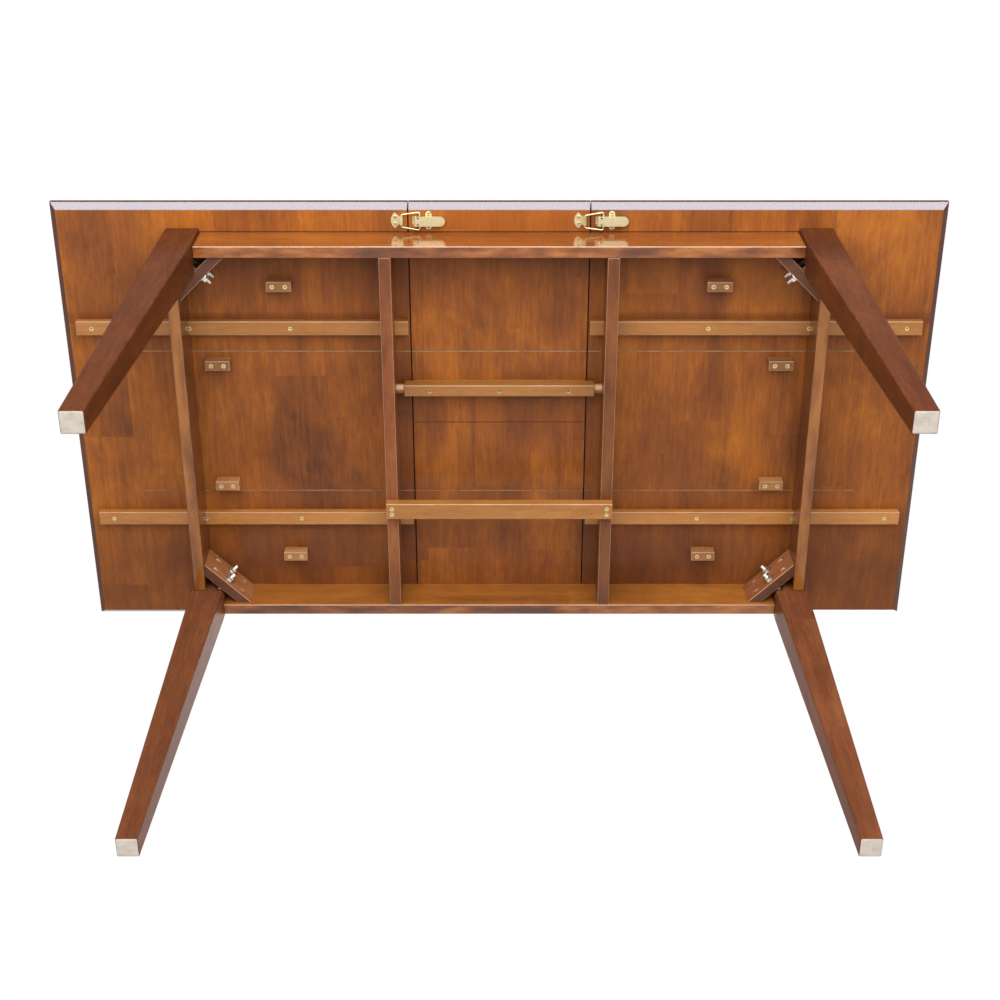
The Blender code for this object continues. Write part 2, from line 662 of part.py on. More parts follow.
def latch_bail(name, seam, wire_x, wire_drop, end_width):
    """The wire that joins strike and lever, drawn as one bent tube."""
    curve = bpy.data.curves.new(name, "CURVE")
    curve.dimensions = "3D"
    curve.bevel_depth = BAIL_WIRE_DIAMETER / 2
    curve.bevel_resolution = 2
    curve.use_fill_caps = True
    narrow, wide = BAIL_HOOK_WIDTH / 2, BAIL_LEVER_WIDTH / 2
    radius = BAIL_CORNER_RADIUS
    flat = [(BAIL_PIVOT_X, end_width / 2)]
    flat += arc((BAIL_PIVOT_X - radius, wide - radius), radius, 0, 90, 4)
    flat += arc((wire_x + radius, narrow - radius), radius, 100, 180, 4)
    route = flat + [(x, -y) for x, y in reversed(flat)]
    slope = (wire_drop - BAIL_PIVOT_DROP) / (wire_x - BAIL_PIVOT_X)
    spline = curve.splines.new("POLY")
    spline.points.add(len(route) - 1)
    for point, (x, y) in zip(spline.points, route):
        drop = BAIL_PIVOT_DROP + slope * (x - BAIL_PIVOT_X)
        point.co = (*latch_point(seam, x, y, drop), 1)
    made = bpy.data.objects.new(name, curve)
    table.objects.link(made)
    curve.materials.append(BRASS)
    return made


def latch_base(name, seam):
    """A base plate with two screw tabs and two upright ears that carry the lever's pin."""
    half, near, far = BASE_WIDTH / 2, BASE_NEAR_END, BASE_FAR_END
    round_tab = arc((BASE_TAB_X, BASE_TAB_SPAN / 2 - BASE_TAB_RADIUS), BASE_TAB_RADIUS, 0, 180, 10)
    start, end = BASE_TAB_X - BASE_TAB_RADIUS, BASE_TAB_X + BASE_TAB_RADIUS
    foot = half - LATCH_METAL / 2
    upper = [(far, half - LATCH_METAL), (end, foot), *round_tab, (start, half), (near, half)]
    outline = upper + [(x, -y) for x, y in reversed(upper)]
    centre = latch_point(seam, 0, 0, SEAT_GAP + LATCH_METAL / 2)
    plate = prism(name, outline, PLAN, centre, LATCH_METAL, BRASS)
    round_end = arc((LEVER_PIVOT_X, -LEVER_PIVOT_DROP), EAR_LENGTH / 2, -180, 0, 8)
    left, right = LEVER_PIVOT_X - EAR_LENGTH / 2, LEVER_PIVOT_X + EAR_LENGTH / 2
    root = -SEAT_GAP - LATCH_METAL / 2
    ear = [(right, root), (left, root), *round_end]
    pin = LATCH_PIN_DIAMETER / 2 + TURN_GAP
    for place, sign in (("front", -1), ("rear", 1)):
        middle = sign * (half - LATCH_METAL)
        fuse(plate, prism(f"{name}_ear_{place}", ear, SIDE, latch_point(seam, 0, middle, 0), LATCH_METAL))
    ends = [latch_point(seam, LEVER_PIVOT_X, y, LEVER_PIVOT_DROP) for y in (-half * 2, half * 2)]
    return cut(plate, rod(f"{name}_bore", pin, *ends, sides=16))


def latch_lever(name, seam, bail_pivots):
    """A channel with a round nose at its pin, two eyes beside the base's ears and a bent finger tip."""
    pivot = (LEVER_PIVOT_X, -LEVER_PIVOT_DROP)
    radius, back = LEVER_NOSE_RADIUS, -LEVER_BACK_DROP
    lift = degrees(asin((LEVER_PIVOT_DROP - LEVER_FLANGE_DROP) / radius))
    tip = LEVER_TIP_X
    past = tip + LATCH_METAL
    nose = arc(pivot, radius, lift, 270, 10)
    bend, lifted = tip - LEVER_TIP_LENGTH, back + LEVER_TIP_RISE
    side = [
        *nose,
        (bend, back),
        (past, lifted),
        (past, lifted + 2 * LATCH_METAL),
        (tip - radius, -LEVER_FLANGE_DROP),
    ]
    lever = prism(name, side, SIDE, latch_point(seam, 0, 0, 0), 2 * LEVER_WIDTH, BRASS)
    half = LEVER_WIDTH / 2
    plan = arc((tip - half, 0), half, -90, 90, 8)
    plan += [(0, half), (0, -half)]
    boolean(
        lever,
        prism(f"{name}_plan", plan, PLAN, latch_point(seam, 0, 0, 0), 4 * LEVER_BACK_DROP),
        "INTERSECT",
    )
    inside = [
        (0, LATCH_METAL),
        (0, back + LATCH_METAL),
        (tip - half, back + LATCH_METAL),
        (tip - half, LATCH_METAL),
    ]
    hollow = prism(
        f"{name}_hollow", inside, SIDE, latch_point(seam, 0, 0, 0), LEVER_WIDTH - 2 * LATCH_METAL
    )
    cut(lever, hollow)
    for place, y in (("front", -BASE_WIDTH / 2 + LATCH_METAL), ("rear", BASE_WIDTH / 2 - LATCH_METAL)):
        ends = [latch_point(seam, LEVER_EYE_X, y, LEVER_BACK_DROP + way * 2 * LATCH_METAL) for way in (-1, 1)]
        cut(lever, rod(f"{name}_eye_{place}", LEVER_EYE_DIAMETER / 2, *ends, sides=12))
    bores = [("pin", LEVER_PIVOT_X, LEVER_PIVOT_DROP, LATCH_PIN_DIAMETER)]
    if bail_pivots:
        bores.append(("bail", BAIL_PIVOT_X, BAIL_PIVOT_DROP, BAIL_WIRE_DIAMETER))
    for kind, x, drop, diameter in bores:
        ends = [latch_point(seam, x, y, drop) for y in (-LEVER_WIDTH, LEVER_WIDTH)]
        cut(lever, rod(f"{name}_{kind}_bore", diameter / 2 + TURN_GAP, *ends, sides=16))
    return lever


def latch_pin(name, seam):
    reach = LEVER_WIDTH / 2 + LATCH_METAL / 2
    ends = [latch_point(seam, LEVER_PIVOT_X, y, LEVER_PIVOT_DROP) for y in (-reach, reach)]
    return rod(name, LATCH_PIN_DIAMETER / 2, *ends, BRASS, sides=16)


def left_latch(left_slide, leaf_axis):
    """Its strike and bail ride on the left top, and its base and lever on the leaf."""
    seam = -SEAM_X
    ride(left_slide, latch_strike("left_latch_strike", seam))
    bail_axis = axis_empty(
        "left_bail_axis", latch_point(seam, HOOK_WIRE_X, 0, HOOK_WIRE_DROP), left_slide
    )
    end_width = LEVER_WIDTH + 2 * OPEN_PIVOT_CLEARANCE
    ride(bail_axis, latch_bail("left_latch_bail", seam, HOOK_WIRE_X, HOOK_WIRE_DROP, end_width))
    ride(leaf_axis, latch_base("left_latch_base", seam), latch_pin("left_latch_pin", seam))
    lever_axis = axis_empty(
        "left_lever_axis", latch_point(seam, LEVER_PIVOT_X, 0, LEVER_PIVOT_DROP), leaf_axis
    )
    ride(lever_axis, latch_lever("left_latch_lever", seam, False))


def right_latch(right_slide, leaf_axis):
    """Its base, lever and bail ride on the right top, and its strike on the leaf."""
    seam = SEAM_X
    ride(leaf_axis, latch_strike("right_latch_strike", seam))
    ride(right_slide, latch_base("right_latch_base", seam), latch_pin("right_latch_pin", seam))
    lever_axis = axis_empty(
        "right_lever_axis", latch_point(seam, LEVER_PIVOT_X, 0, LEVER_PIVOT_DROP), right_slide
    )
    ride(lever_axis, latch_lever("right_latch_lever", seam, True))
    bail_axis = axis_empty(
        "right_bail_axis", latch_point(seam, BAIL_PIVOT_X, 0, BAIL_PIVOT_DROP), lever_axis
    )
    over_hook = HOOK_DROP + SEAT_GAP + BAIL_WIRE_DIAMETER / 2
    end_width = LEVER_WIDTH - 2 * LATCH_METAL
    ride(bail_axis, latch_bail("right_latch_bail", seam, HOOK_WIRE_X, over_hook, end_width))


# The table

aprons_and_rails()
for end, sign_end in (("left", -1), ("right", 1)):
    corner(f"front_{end}", sign_end, -1)
    corner(f"rear_{end}", sign_end, 1)
support_bar()
left_top_slide = end_top("left", -1)
right_top_slide = end_top("right", 1)
leaf_pivot_axis = axis_empty("leaf_pivot_axis", (0, PIVOT_Y, PIVOT_Z))
ride(leaf_pivot_axis, *leaf_half("front", -1), pivot_bar())
leaf_fold_axis = axis_empty("leaf_fold_axis", (0, 0, FOLD_Z), leaf_pivot_axis)
ride(leaf_fold_axis, *leaf_half("rear", 1))
left_latch(left_top_slide, leaf_pivot_axis)
right_latch(right_top_slide, leaf_pivot_axis)
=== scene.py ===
"""Looks of the butterfly leaf dining table, drawn out with its leaf in place.

Metres, +Z up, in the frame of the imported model. The main view looks up at the table from in front
and below. The file follows the table as it is put together, from the frame to the tops, the leaf
and its latches, and ends with the studio.
"""

from math import cos, pi, radians, sin

import bmesh
import bpy
from mathutils import Matrix, Vector


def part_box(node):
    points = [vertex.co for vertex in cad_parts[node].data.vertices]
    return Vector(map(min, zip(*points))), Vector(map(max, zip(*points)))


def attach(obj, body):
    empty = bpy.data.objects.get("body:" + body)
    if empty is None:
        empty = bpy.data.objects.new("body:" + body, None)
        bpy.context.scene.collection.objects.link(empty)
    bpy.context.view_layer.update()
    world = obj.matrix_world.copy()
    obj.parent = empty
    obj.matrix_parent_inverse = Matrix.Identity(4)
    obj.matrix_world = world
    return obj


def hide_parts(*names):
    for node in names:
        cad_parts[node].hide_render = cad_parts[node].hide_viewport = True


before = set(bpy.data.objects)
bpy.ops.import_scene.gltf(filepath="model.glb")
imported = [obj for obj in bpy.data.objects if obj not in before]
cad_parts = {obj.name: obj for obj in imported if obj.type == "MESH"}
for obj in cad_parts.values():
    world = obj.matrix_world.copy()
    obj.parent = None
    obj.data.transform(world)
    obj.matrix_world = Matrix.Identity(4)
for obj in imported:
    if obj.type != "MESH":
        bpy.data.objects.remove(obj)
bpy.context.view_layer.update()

# Legs
# Four square legs of solid rubberwood, tapered on their two inner faces and stained a dull red
# brown. Their shades are painted light and shade: the rear legs and feet paler, the front ones
# darker and the right legs paler than the left. The grain runs down the leg, and each foot is bare
# sawn end grain.


def add(tree, kind, **settings):
    """A shader node of a tree, with its settings."""
    made = tree.nodes.new("ShaderNode" + kind)
    for name, value in settings.items():
        setattr(made, name, value)
    return made


def feed(tree, socket, source):
    """Gives an input socket a link to an output, or its own value."""
    if isinstance(source, bpy.types.NodeSocket):
        tree.links.new(source, socket)
    else:
        socket.default_value = source


def sums(tree, operation, *values, clamp=False):
    """The result of one sum or comparison."""
    made = add(tree, "Math", operation=operation, use_clamp=clamp)
    for socket, value in zip(made.inputs, values):
        feed(tree, socket, value)
    return made.outputs[0]


def product(tree, first, *others):
    """Values multiplied together, such as masks that must all hold."""
    for other in others:
        first = sums(tree, "MULTIPLY", first, other)
    return first


def remap(tree, value, low, high, to_low=0.0, to_high=1.0):
    """A value between low and high, moved to another range and held inside it."""
    made = add(tree, "MapRange", interpolation_type="SMOOTHSTEP")
    for socket, given in zip(made.inputs, (value, low, high, to_low, to_high)):
        feed(tree, socket, given)
    return made.outputs[0]


def table_place(tree):
    """A point's place on the table, which a piece keeps when it moves."""
    return add(tree, "TexCoord").outputs["Object"]


def apart(tree, vector):
    """The X, Y and Z of a vector."""
    made = add(tree, "SeparateXYZ")
    feed(tree, made.inputs[0], vector)
    return made.outputs


def together(tree, *parts):
    """A vector from its X, Y and Z."""
    made = add(tree, "CombineXYZ")
    for socket, part in zip(made.inputs, parts):
        feed(tree, socket, part)
    return made.outputs[0]


def noise(tree, place, spread, detail, roughness=0.5, distortion=0.0):
    """Soft noise, with so many changes to the metre along X, Y and Z."""
    stretched = add(tree, "VectorMath", operation="MULTIPLY")
    feed(tree, stretched.inputs[0], place)
    feed(tree, stretched.inputs[1], spread)
    made = add(tree, "TexNoise")
    feed(tree, made.inputs["Vector"], stretched.outputs[0])
    feed(tree, made.inputs["Scale"], 1.0)
    feed(tree, made.inputs["Detail"], detail)
    feed(tree, made.inputs["Roughness"], roughness)
    feed(tree, made.inputs["Distortion"], distortion)
    return made.outputs[0]


def chance(tree, number):
    """A value from 0 to 1 that is fixed for each whole number."""
    made = add(tree, "TexWhiteNoise", noise_dimensions="1D")
    feed(tree, made.inputs["W"], number)
    return made.outputs["Value"]


def mix(tree, factor, first, second):
    """One colour over another."""
    made = add(tree, "Mix", data_type="RGBA", blend_type="MIX")
    feed(tree, made.inputs[0], factor)
    feed(tree, made.inputs[6], first)
    feed(tree, made.inputs[7], second)
    return made.outputs[2]


def new_group(name, inputs, outputs):
    """A node group with named sockets, and its inner input and output nodes."""
    tree = bpy.data.node_groups.new(name, "ShaderNodeTree")
    for socket, kind in inputs:
        tree.interface.new_socket(socket, in_out="INPUT", socket_type="NodeSocket" + kind)
    for socket, kind in outputs:
        tree.interface.new_socket(socket, in_out="OUTPUT", socket_type="NodeSocket" + kind)
    return tree, tree.nodes.new("NodeGroupInput"), tree.nodes.new("NodeGroupOutput")


def placed(tree, group, values):
    """Puts a node group into a tree with its own values, and gives its outputs."""
    made = add(tree, "Group", node_tree=group)
    for name, value in values.items():
        feed(tree, made.inputs[name], value)
    return made.outputs


STAVE_LENGTH, STAVE_SHIFT, STAVES_PER_BOARD = 0.31, 7.0, 17.0
CLOUD_SPREAD, STREAK_SPREAD, BAND_SPREAD = (4.2, 7.0, 7.0), (2.0, 60.0, 60.0), (1.4, 18.0, 18.0)
FLECK_SPREAD, FINE_SPREAD, PORE_SPREAD = (26.0, 170.0, 170.0), (14.0, 480.0, 480.0), (60.0, 1300.0, 1300.0)
STREAK_SHARE, BAND_SHARE, FLECK_SHARE, FINE_SHARE = 0.4, 0.4, 0.35, 0.3
PORE_EDGES, PORE_SINK = (0.58, 0.7), -0.7


def grain_group():
    """Wood with its grain along the vector's X: fine streaks, glued staves, clouds of stain and pores."""
    tree, given, result = new_group(
        "wood_grain",
        [
            ("Along Grain", "Vector"),
            ("Board Width", "Float"),
            ("Board Contrast", "Float"),
            ("Clouds", "Float"),
        ],
        [("Tone", "Float"), ("Cloud", "Float"), ("Pores", "Float"), ("Height", "Float")],
    )
    straight = given.outputs["Along Grain"]
    along, across, deep = apart(tree, straight)
    boards = sums(tree, "ADD", sums(tree, "DIVIDE", across, given.outputs["Board Width"]), 0.5)
    board = sums(tree, "FLOOR", boards)
    staves = sums(tree, "MULTIPLY_ADD", along, 1 / STAVE_LENGTH, chance(tree, board))
    stave = sums(tree, "FLOOR", staves)
    stave_tone = chance(tree, sums(tree, "MULTIPLY_ADD", board, STAVES_PER_BOARD, stave))
    moved = sums(tree, "MULTIPLY_ADD", stave_tone, STAVE_SHIFT, along)
    place = together(tree, moved, across, deep)
    cloud = noise(tree, straight, CLOUD_SPREAD, detail=7.0, roughness=0.62, distortion=0.35)
    streaks = noise(tree, place, STREAK_SPREAD, detail=5.0, roughness=0.6, distortion=0.1)
    bands = noise(tree, place, BAND_SPREAD, detail=2.0, distortion=0.8)
    flecks = noise(tree, place, FLECK_SPREAD, detail=2.0, distortion=0.3)
    fine = noise(tree, place, FINE_SPREAD, detail=3.0, roughness=0.6)
    pores = remap(tree, noise(tree, place, PORE_SPREAD, detail=1.0), *PORE_EDGES)
    tone = 0.5
    for pattern, strength in (
        (streaks, STREAK_SHARE),
        (bands, BAND_SHARE),
        (flecks, FLECK_SHARE),
        (fine, FINE_SHARE),
        (stave_tone, given.outputs["Board Contrast"]),
        (cloud, given.outputs["Clouds"]),
    ):
        tone = sums(tree, "MULTIPLY_ADD", sums(tree, "SUBTRACT", pattern, 0.5), strength, tone)
    feed(tree, result.inputs["Tone"], sums(tree, "ADD", tone, 0.0, clamp=True))
    feed(tree, result.inputs["Cloud"], cloud)
    feed(tree, result.inputs["Pores"], pores)
    feed(tree, result.inputs["Height"], sums(tree, "MULTIPLY_ADD", pores, PORE_SINK, fine))
    return tree


RUB_SPREAD, RUB_EDGES, RUB_TURN = (38.0, 38.0, 38.0), (0.42, 0.68), (0.995, 0.85)


def edge_group():
    """Rubbed edges: 1 where a wide bevel would turn the surface, broken up so that the rub is uneven."""
    tree, given, result = new_group("rubbed_edges", [("Width", "Float")], [("Rub", "Float")])
    rounded = add(tree, "Bevel", samples=2)
    feed(tree, rounded.inputs["Radius"], given.outputs["Width"])
    agree = add(tree, "VectorMath", operation="DOT_PRODUCT")
    feed(tree, agree.inputs[0], rounded.outputs[0])
    feed(tree, agree.inputs[1], add(tree, "NewGeometry").outputs["Normal"])
    turned = remap(tree, agree.outputs["Value"], *RUB_TURN)
    patches = noise(tree, table_place(tree), RUB_SPREAD, detail=3.0, roughness=0.65)
    feed(tree, result.inputs["Rub"], product(tree, turned, remap(tree, patches, *RUB_EDGES)))
    return tree


WOOD_GRAIN = grain_group()
RUBBED_EDGES = edge_group()

# The table's axes in the order along the grain, across it and into the wood
ALONG_X, ALONG_Y, ALONG_Z = "XYZ", "YXZ", "ZXY"


def grain_place(tree, order, turn=0.0):
    """The table's own coordinates, turned about the upright axis and put in the grain's order."""
    place = table_place(tree)
    if turn:
        turned = add(tree, "VectorRotate", rotation_type="Z_AXIS")
        feed(tree, turned.inputs["Vector"], place)
        feed(tree, turned.inputs["Angle"], turn)
        place = turned.outputs[0]
    parts = apart(tree, place)
    return together(tree, *[parts["XYZ".index(axis)] for axis in order])


def shade(name, metallic, roughness):
    """A new material with its tree and main shader."""
    made = bpy.data.materials.new(name)
    made.use_nodes = True
    tree = made.node_tree
    shader = tree.nodes["Principled BSDF"]
    shader.inputs["Metallic"].default_value = metallic
    shader.inputs["Roughness"].default_value = roughness
    return made, tree, shader


def ramp(tree, value, colours):
    """Colours laid evenly from a value of 0 to 1."""
    made = add(tree, "ValToRGB")
    feed(tree, made.inputs[0], value)
    stops = made.color_ramp.elements
    while len(stops) < len(colours):
        stops.new(0.5)
    for number, colour in enumerate(colours):
        stops[number].position = number / (len(colours) - 1)
        stops[number].color = (*colour, 1)
    return made.outputs[0]


def relieve(tree, shader, height, strength, depth, arris_radius):
    """Gives a shader its fine relief over softened arrises."""
    relief = add(tree, "Bump")
    feed(tree, relief.inputs["Strength"], strength)
    feed(tree, relief.inputs["Distance"], depth)
    feed(tree, relief.inputs["Height"], height)
    arris = add(tree, "Bevel", samples=2)
    feed(tree, arris.inputs["Radius"], arris_radius)
    feed(tree, relief.inputs["Normal"], arris.outputs[0])
    feed(tree, shader.inputs["Normal"], relief.outputs[0])


PORE_SHARE, PORE_SHADE = 0.3, 0.5
RUB_WIDTH, RUB_SHARE = 0.0016, 0.6
CLOUD_ROUGHNESS, PORE_ROUGHNESS = 0.12, 0.12
GRAIN_STRENGTH, GRAIN_DEPTH, WOOD_ARRIS = 0.2, 0.0003, 0.0012


def wood(
    name,
    order,
    tones,
    rub,
    clouds=0.9,
    board=1.0,
    boards=0.0,
    gloss=0.3,
    specular=0.12,
    lacquer=0.1,
    mirror=0.08,
    turn=0.0,
    bare=(),
):
    """Stained wood. Bare lists places that differ: a mask maker, a colour maker and a rise in roughness."""
    made, tree, shader = shade(name, metallic=0.0, roughness=gloss)
    tone, cloud, pores, height = placed(
        tree,
        WOOD_GRAIN,
        {
            "Along Grain": grain_place(tree, order, turn),
            "Board Width": board,
            "Board Contrast": boards,
            "Clouds": clouds,
        },
    )
    pore_colour = (*[part * PORE_SHADE for part in tones[0]], 1)
    colour = mix(tree, product(tree, pores, PORE_SHARE), ramp(tree, tone, tones), pore_colour)
    rubbed = placed(tree, RUBBED_EDGES, {"Width": RUB_WIDTH})["Rub"]
    colour = mix(tree, product(tree, rubbed, RUB_SHARE), colour, (*rub, 1))
    rough = sums(tree, "MULTIPLY_ADD", cloud, CLOUD_ROUGHNESS, gloss - CLOUD_ROUGHNESS / 2)
    rough = sums(tree, "MULTIPLY_ADD", pores, PORE_ROUGHNESS, rough)
    for mask, other_colour, rise in bare:
        shown = mask(tree)
        colour = mix(tree, shown, colour, other_colour(tree))
        rough = sums(tree, "MULTIPLY_ADD", shown, rise, rough)
    feed(tree, shader.inputs["Base Color"], colour)
    feed(tree, shader.inputs["Roughness"], rough)
    relieve(tree, shader, height, GRAIN_STRENGTH, GRAIN_DEPTH, WOOD_ARRIS)
    shader.inputs["Specular IOR Level"].default_value = specular
    feed(tree, shader.inputs["Coat Weight"], lacquer(tree) if callable(lacquer) else lacquer)
    shader.inputs["Coat Roughness"].default_value = mirror
    return made


def finish_nodes(material, *names):
    """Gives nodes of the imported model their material."""
    for name in names:
        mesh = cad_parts[name].data
        mesh.materials.clear()
        mesh.materials.append(material)


def paler(colours, share):
    """Colours made paler or darker by one share."""
    return [tuple(part * share for part in colour) for colour in colours]


FOOT_BARE_HEIGHT = 0.0009
FOOT_TONES = [(0.34, 0.28, 0.22), (0.58, 0.51, 0.44), (0.72, 0.66, 0.59)]
FOOT_SPECK = (0.2, 0.15, 0.11, 1)
SPECK_SPREAD, SPECK_EDGES, SPECK_SHARE = (900.0, 900.0, 900.0), (0.5, 0.75), 0.6
DIRT_SPREAD = (70.0, 70.0, 70.0)


def foot_mask(tree):
    """The sawn lower end of a leg."""
    return remap(tree, apart(tree, table_place(tree))[2], FOOT_BARE_HEIGHT, FOOT_BARE_HEIGHT / 3)


def sawn_end_group():
    """Pale end grain, painted paler or darker by a share of light and shade, with dark specks and a little
    floor dirt.
    """
    tree, given, result = new_group("sawn_end", [("Share", "Float")], [("Colour", "Color")])
    place = table_place(tree)
    specks = remap(tree, noise(tree, place, SPECK_SPREAD, detail=2.0, roughness=0.7), *SPECK_EDGES)
    dirt = noise(tree, place, DIRT_SPREAD, detail=4.0, roughness=0.6)
    pale = add(tree, "VectorMath", operation="SCALE")
    feed(tree, pale.inputs["Vector"], ramp(tree, dirt, FOOT_TONES))
    feed(tree, pale.inputs["Scale"], given.outputs["Share"])
    colour = mix(tree, product(tree, specks, SPECK_SHARE), pale.outputs[0], FOOT_SPECK)
    feed(tree, result.inputs["Colour"], colour)
    return tree


SAWN_END = sawn_end_group()


def sawn_end(share):
    """A maker of the feet's colour."""
    return lambda tree: placed(tree, SAWN_END, {"Share": share})["Colour"]


# Painted light and shade: front legs and feet darker, rear ones paler, right legs paler than the left.
FRONT_LEG_SHADED_TONES = [(0.041, 0.0109, 0.0044), (0.092, 0.0257, 0.0085), (0.17, 0.0514, 0.0155)]
REAR_LEG_LIT_TONES = [(0.06, 0.0186, 0.0094), (0.138, 0.0445, 0.0182), (0.253, 0.089, 0.0335)]
FRONT_FOOT_SHADE, REAR_FOOT_LIGHT = 0.83, 1.12
for corner, tones, foot_light_share in (
    ("front_left", paler(FRONT_LEG_SHADED_TONES, 0.93), FRONT_FOOT_SHADE),
    ("front_right", paler(FRONT_LEG_SHADED_TONES, 1.08), FRONT_FOOT_SHADE),
    ("rear_left", paler(REAR_LEG_LIT_TONES, 0.99), REAR_FOOT_LIGHT),
    ("rear_right", paler(REAR_LEG_LIT_TONES, 1.08), REAR_FOOT_LIGHT),
):
    stain = wood(
        f"leg_stain_{corner}",
        ALONG_Z,
        tones,
        rub=(0.26, 0.11, 0.055),
        clouds=1.0,
        specular=0.013,
        lacquer=0.0,
        bare=[(foot_mask, sawn_end(foot_light_share), 0.4)],
    )
    finish_nodes(stain, f"leg_{corner}")

# Aprons
# Flat boards between the legs, of the same wood, stained as the tops and lacquered. The two end
# aprons are notched for the runners. Handling has rubbed the lower edges pale, and the arrises
# that face the front carry a painted highlight.

LOOKS_DOWN = (-0.9, -0.97)


def facing(tree):
    """Which way a face looks, along X, Y and Z."""
    return apart(tree, add(tree, "TexCoord").outputs["Normal"])


def underside(tree):
    """The faces that look straight down."""
    return remap(tree, facing(tree)[2], *LOOKS_DOWN)


def patch_group():
    """Uneven patches, with so many of them to the metre along X, Y and Z."""
    tree, given, result = new_group(
        "patches",
        [("Spread", "Vector"), ("Detail", "Float"), ("Roughness", "Float")],
        [("Patches", "Float")],
    )
    spread, detail, roughness = [given.outputs[name] for name in ("Spread", "Detail", "Roughness")]
    feed(tree, result.inputs["Patches"], noise(tree, table_place(tree), spread, detail, roughness))
    return tree


PATCHES = patch_group()


def patchy(spread, tones, detail=3.0, roughness=0.5, edges=None):
    """A maker of a colour in patches of several tones."""

    def colour(tree):
        values = {"Spread": spread, "Detail": detail, "Roughness": roughness}
        patches = placed(tree, PATCHES, values)["Patches"]
        if edges:
            patches = remap(tree, patches, *edges)
        return ramp(tree, patches, tones)

    return colour


def rounded_way(tree, radius):
    """Which way a surface would look with its arrises rounded, along the piece's own X, Y and Z."""
    rounded = add(tree, "Bevel", samples=4)
    feed(tree, rounded.inputs["Radius"], radius)
    own = add(tree, "VectorTransform", vector_type="NORMAL", convert_from="WORLD", convert_to="OBJECT")
    feed(tree, own.inputs[0], rounded.outputs[0])
    return apart(tree, own.outputs[0])


HIGHLIGHT_TO_FRONT, ARRIS_TO_FLOOR, ARRIS_OFF_LEVEL = (-0.08, -0.3), (-0.2, -0.5), (-0.985, -0.93)
RIM_RADIUS = 0.0016


def arris_highlight_group():
    """The lower front arris of a piece, which carries a painted highlight."""
    tree, given, result = new_group("arris_highlight", [("Radius", "Float")], [("Bare And Highlight", "Float")])
    way = rounded_way(tree, given.outputs["Radius"])
    bare = product(tree, remap(tree, way[1], *HIGHLIGHT_TO_FRONT), remap(tree, way[2], *ARRIS_TO_FLOOR))
    feed(tree, result.inputs["Bare And Highlight"], bare)
    return tree


def lower_rim_group():
    """The arrises round the lower side, sawn and left bare, by the share of the stain that is gone."""
    tree, given, result = new_group("lower_rim", [("Share", "Float")], [("Bare And Highlight", "Float")])
    upright = rounded_way(tree, RIM_RADIUS)[2]
    to_floor = remap(tree, upright, *ARRIS_TO_FLOOR, 0.0, given.outputs["Share"])
    feed(tree, result.inputs["Bare And Highlight"], product(tree, to_floor, remap(tree, upright, *ARRIS_OFF_LEVEL)))
    return tree


ARRIS_HIGHLIGHT = arris_highlight_group()
LOWER_RIM = lower_rim_group()


def arris_highlight(radius):
    """A maker of the mask of the front arris's painted highlight."""
    return lambda tree: placed(tree, ARRIS_HIGHLIGHT, {"Radius": radius})["Bare And Highlight"]


def lower_rim(share):
    """A maker of the lower rim's mask."""
    return lambda tree: placed(tree, LOWER_RIM, {"Share": share})["Bare And Highlight"]


WORN_ROUGHNESS = 0.1


def worn_edge(spread, tones):
    """A lower edge with its stain rubbed away in patches along the grain."""
    return underside, patchy(spread, tones, detail=4.0, roughness=0.6, edges=(0.3, 0.7)), WORN_ROUGHNESS


def bare_and_highlight(mask):
    """A place shown in bare wood colour: stain worn or cut away, and on the front arrises a painted
    highlight.
    """
    return mask, arris_colour, WORN_ROUGHNESS


# These tones colour bare wood, and the painted highlight on the front arrises.
ARRIS_TONES = [(0.34, 0.15, 0.075), (0.58, 0.34, 0.21), (0.74, 0.5, 0.36)]
arris_colour = patchy((22.0, 22.0, 22.0), ARRIS_TONES, roughness=0.6)
# The rear apron's tones are painted paler for the light on its inner face, and the end aprons' tones darker
# for the shade on theirs.
LONG_TONES = [(0.1, 0.028, 0.009), (0.24, 0.067, 0.01), (0.37, 0.122, 0.018)]
REAR_APRON_LIT_TONES = [(0.128, 0.043, 0.0145), (0.305, 0.102, 0.0163), (0.47, 0.184, 0.029)]
END_APRON_SHADED_TONES = [(0.045, 0.012, 0.005), (0.1, 0.026, 0.006), (0.18, 0.052, 0.011)]
LONG_EDGE_TONES = [(0.085, 0.026, 0.01), (0.215, 0.064, 0.014), (0.38, 0.135, 0.03)]
END_EDGE_TONES = [(0.14, 0.042, 0.009), (0.24, 0.078, 0.012), (0.33, 0.117, 0.018)]
LONG_WEAR_AND_HIGHLIGHT = [worn_edge((9.0, 30.0, 30.0), LONG_EDGE_TONES), bare_and_highlight(arris_highlight(0.0026))]
END_WEAR = [worn_edge((30.0, 7.0, 30.0), END_EDGE_TONES)]
for name, order, tones, worn, nodes in (
    ("apron_stain_front", ALONG_X, LONG_TONES, LONG_WEAR_AND_HIGHLIGHT, ("front_apron",)),
    ("apron_stain_rear_lit", ALONG_X, REAR_APRON_LIT_TONES, LONG_WEAR_AND_HIGHLIGHT, ("rear_apron",)),
    ("apron_stain_end_shaded", ALONG_Y, END_APRON_SHADED_TONES, END_WEAR, ("left_apron", "right_apron")),
):
    stain = wood(
        name,
        order,
        tones,
        rub=(0.5, 0.27, 0.13),
        clouds=1.2,
        gloss=0.26,
        specular=0.1,
        lacquer=0.9,
        mirror=0.13,
        bare=worn,
    )
    finish_nodes(stain, *nodes)

# Cross rails
# Two boards from the front apron to the rear one, notched for the runners and bored for the leaf's
# pivot bar. They are wiped with stain in uneven shades, their lower arrises are worn, and both ends
# are darkened with painted shade next to the aprons.

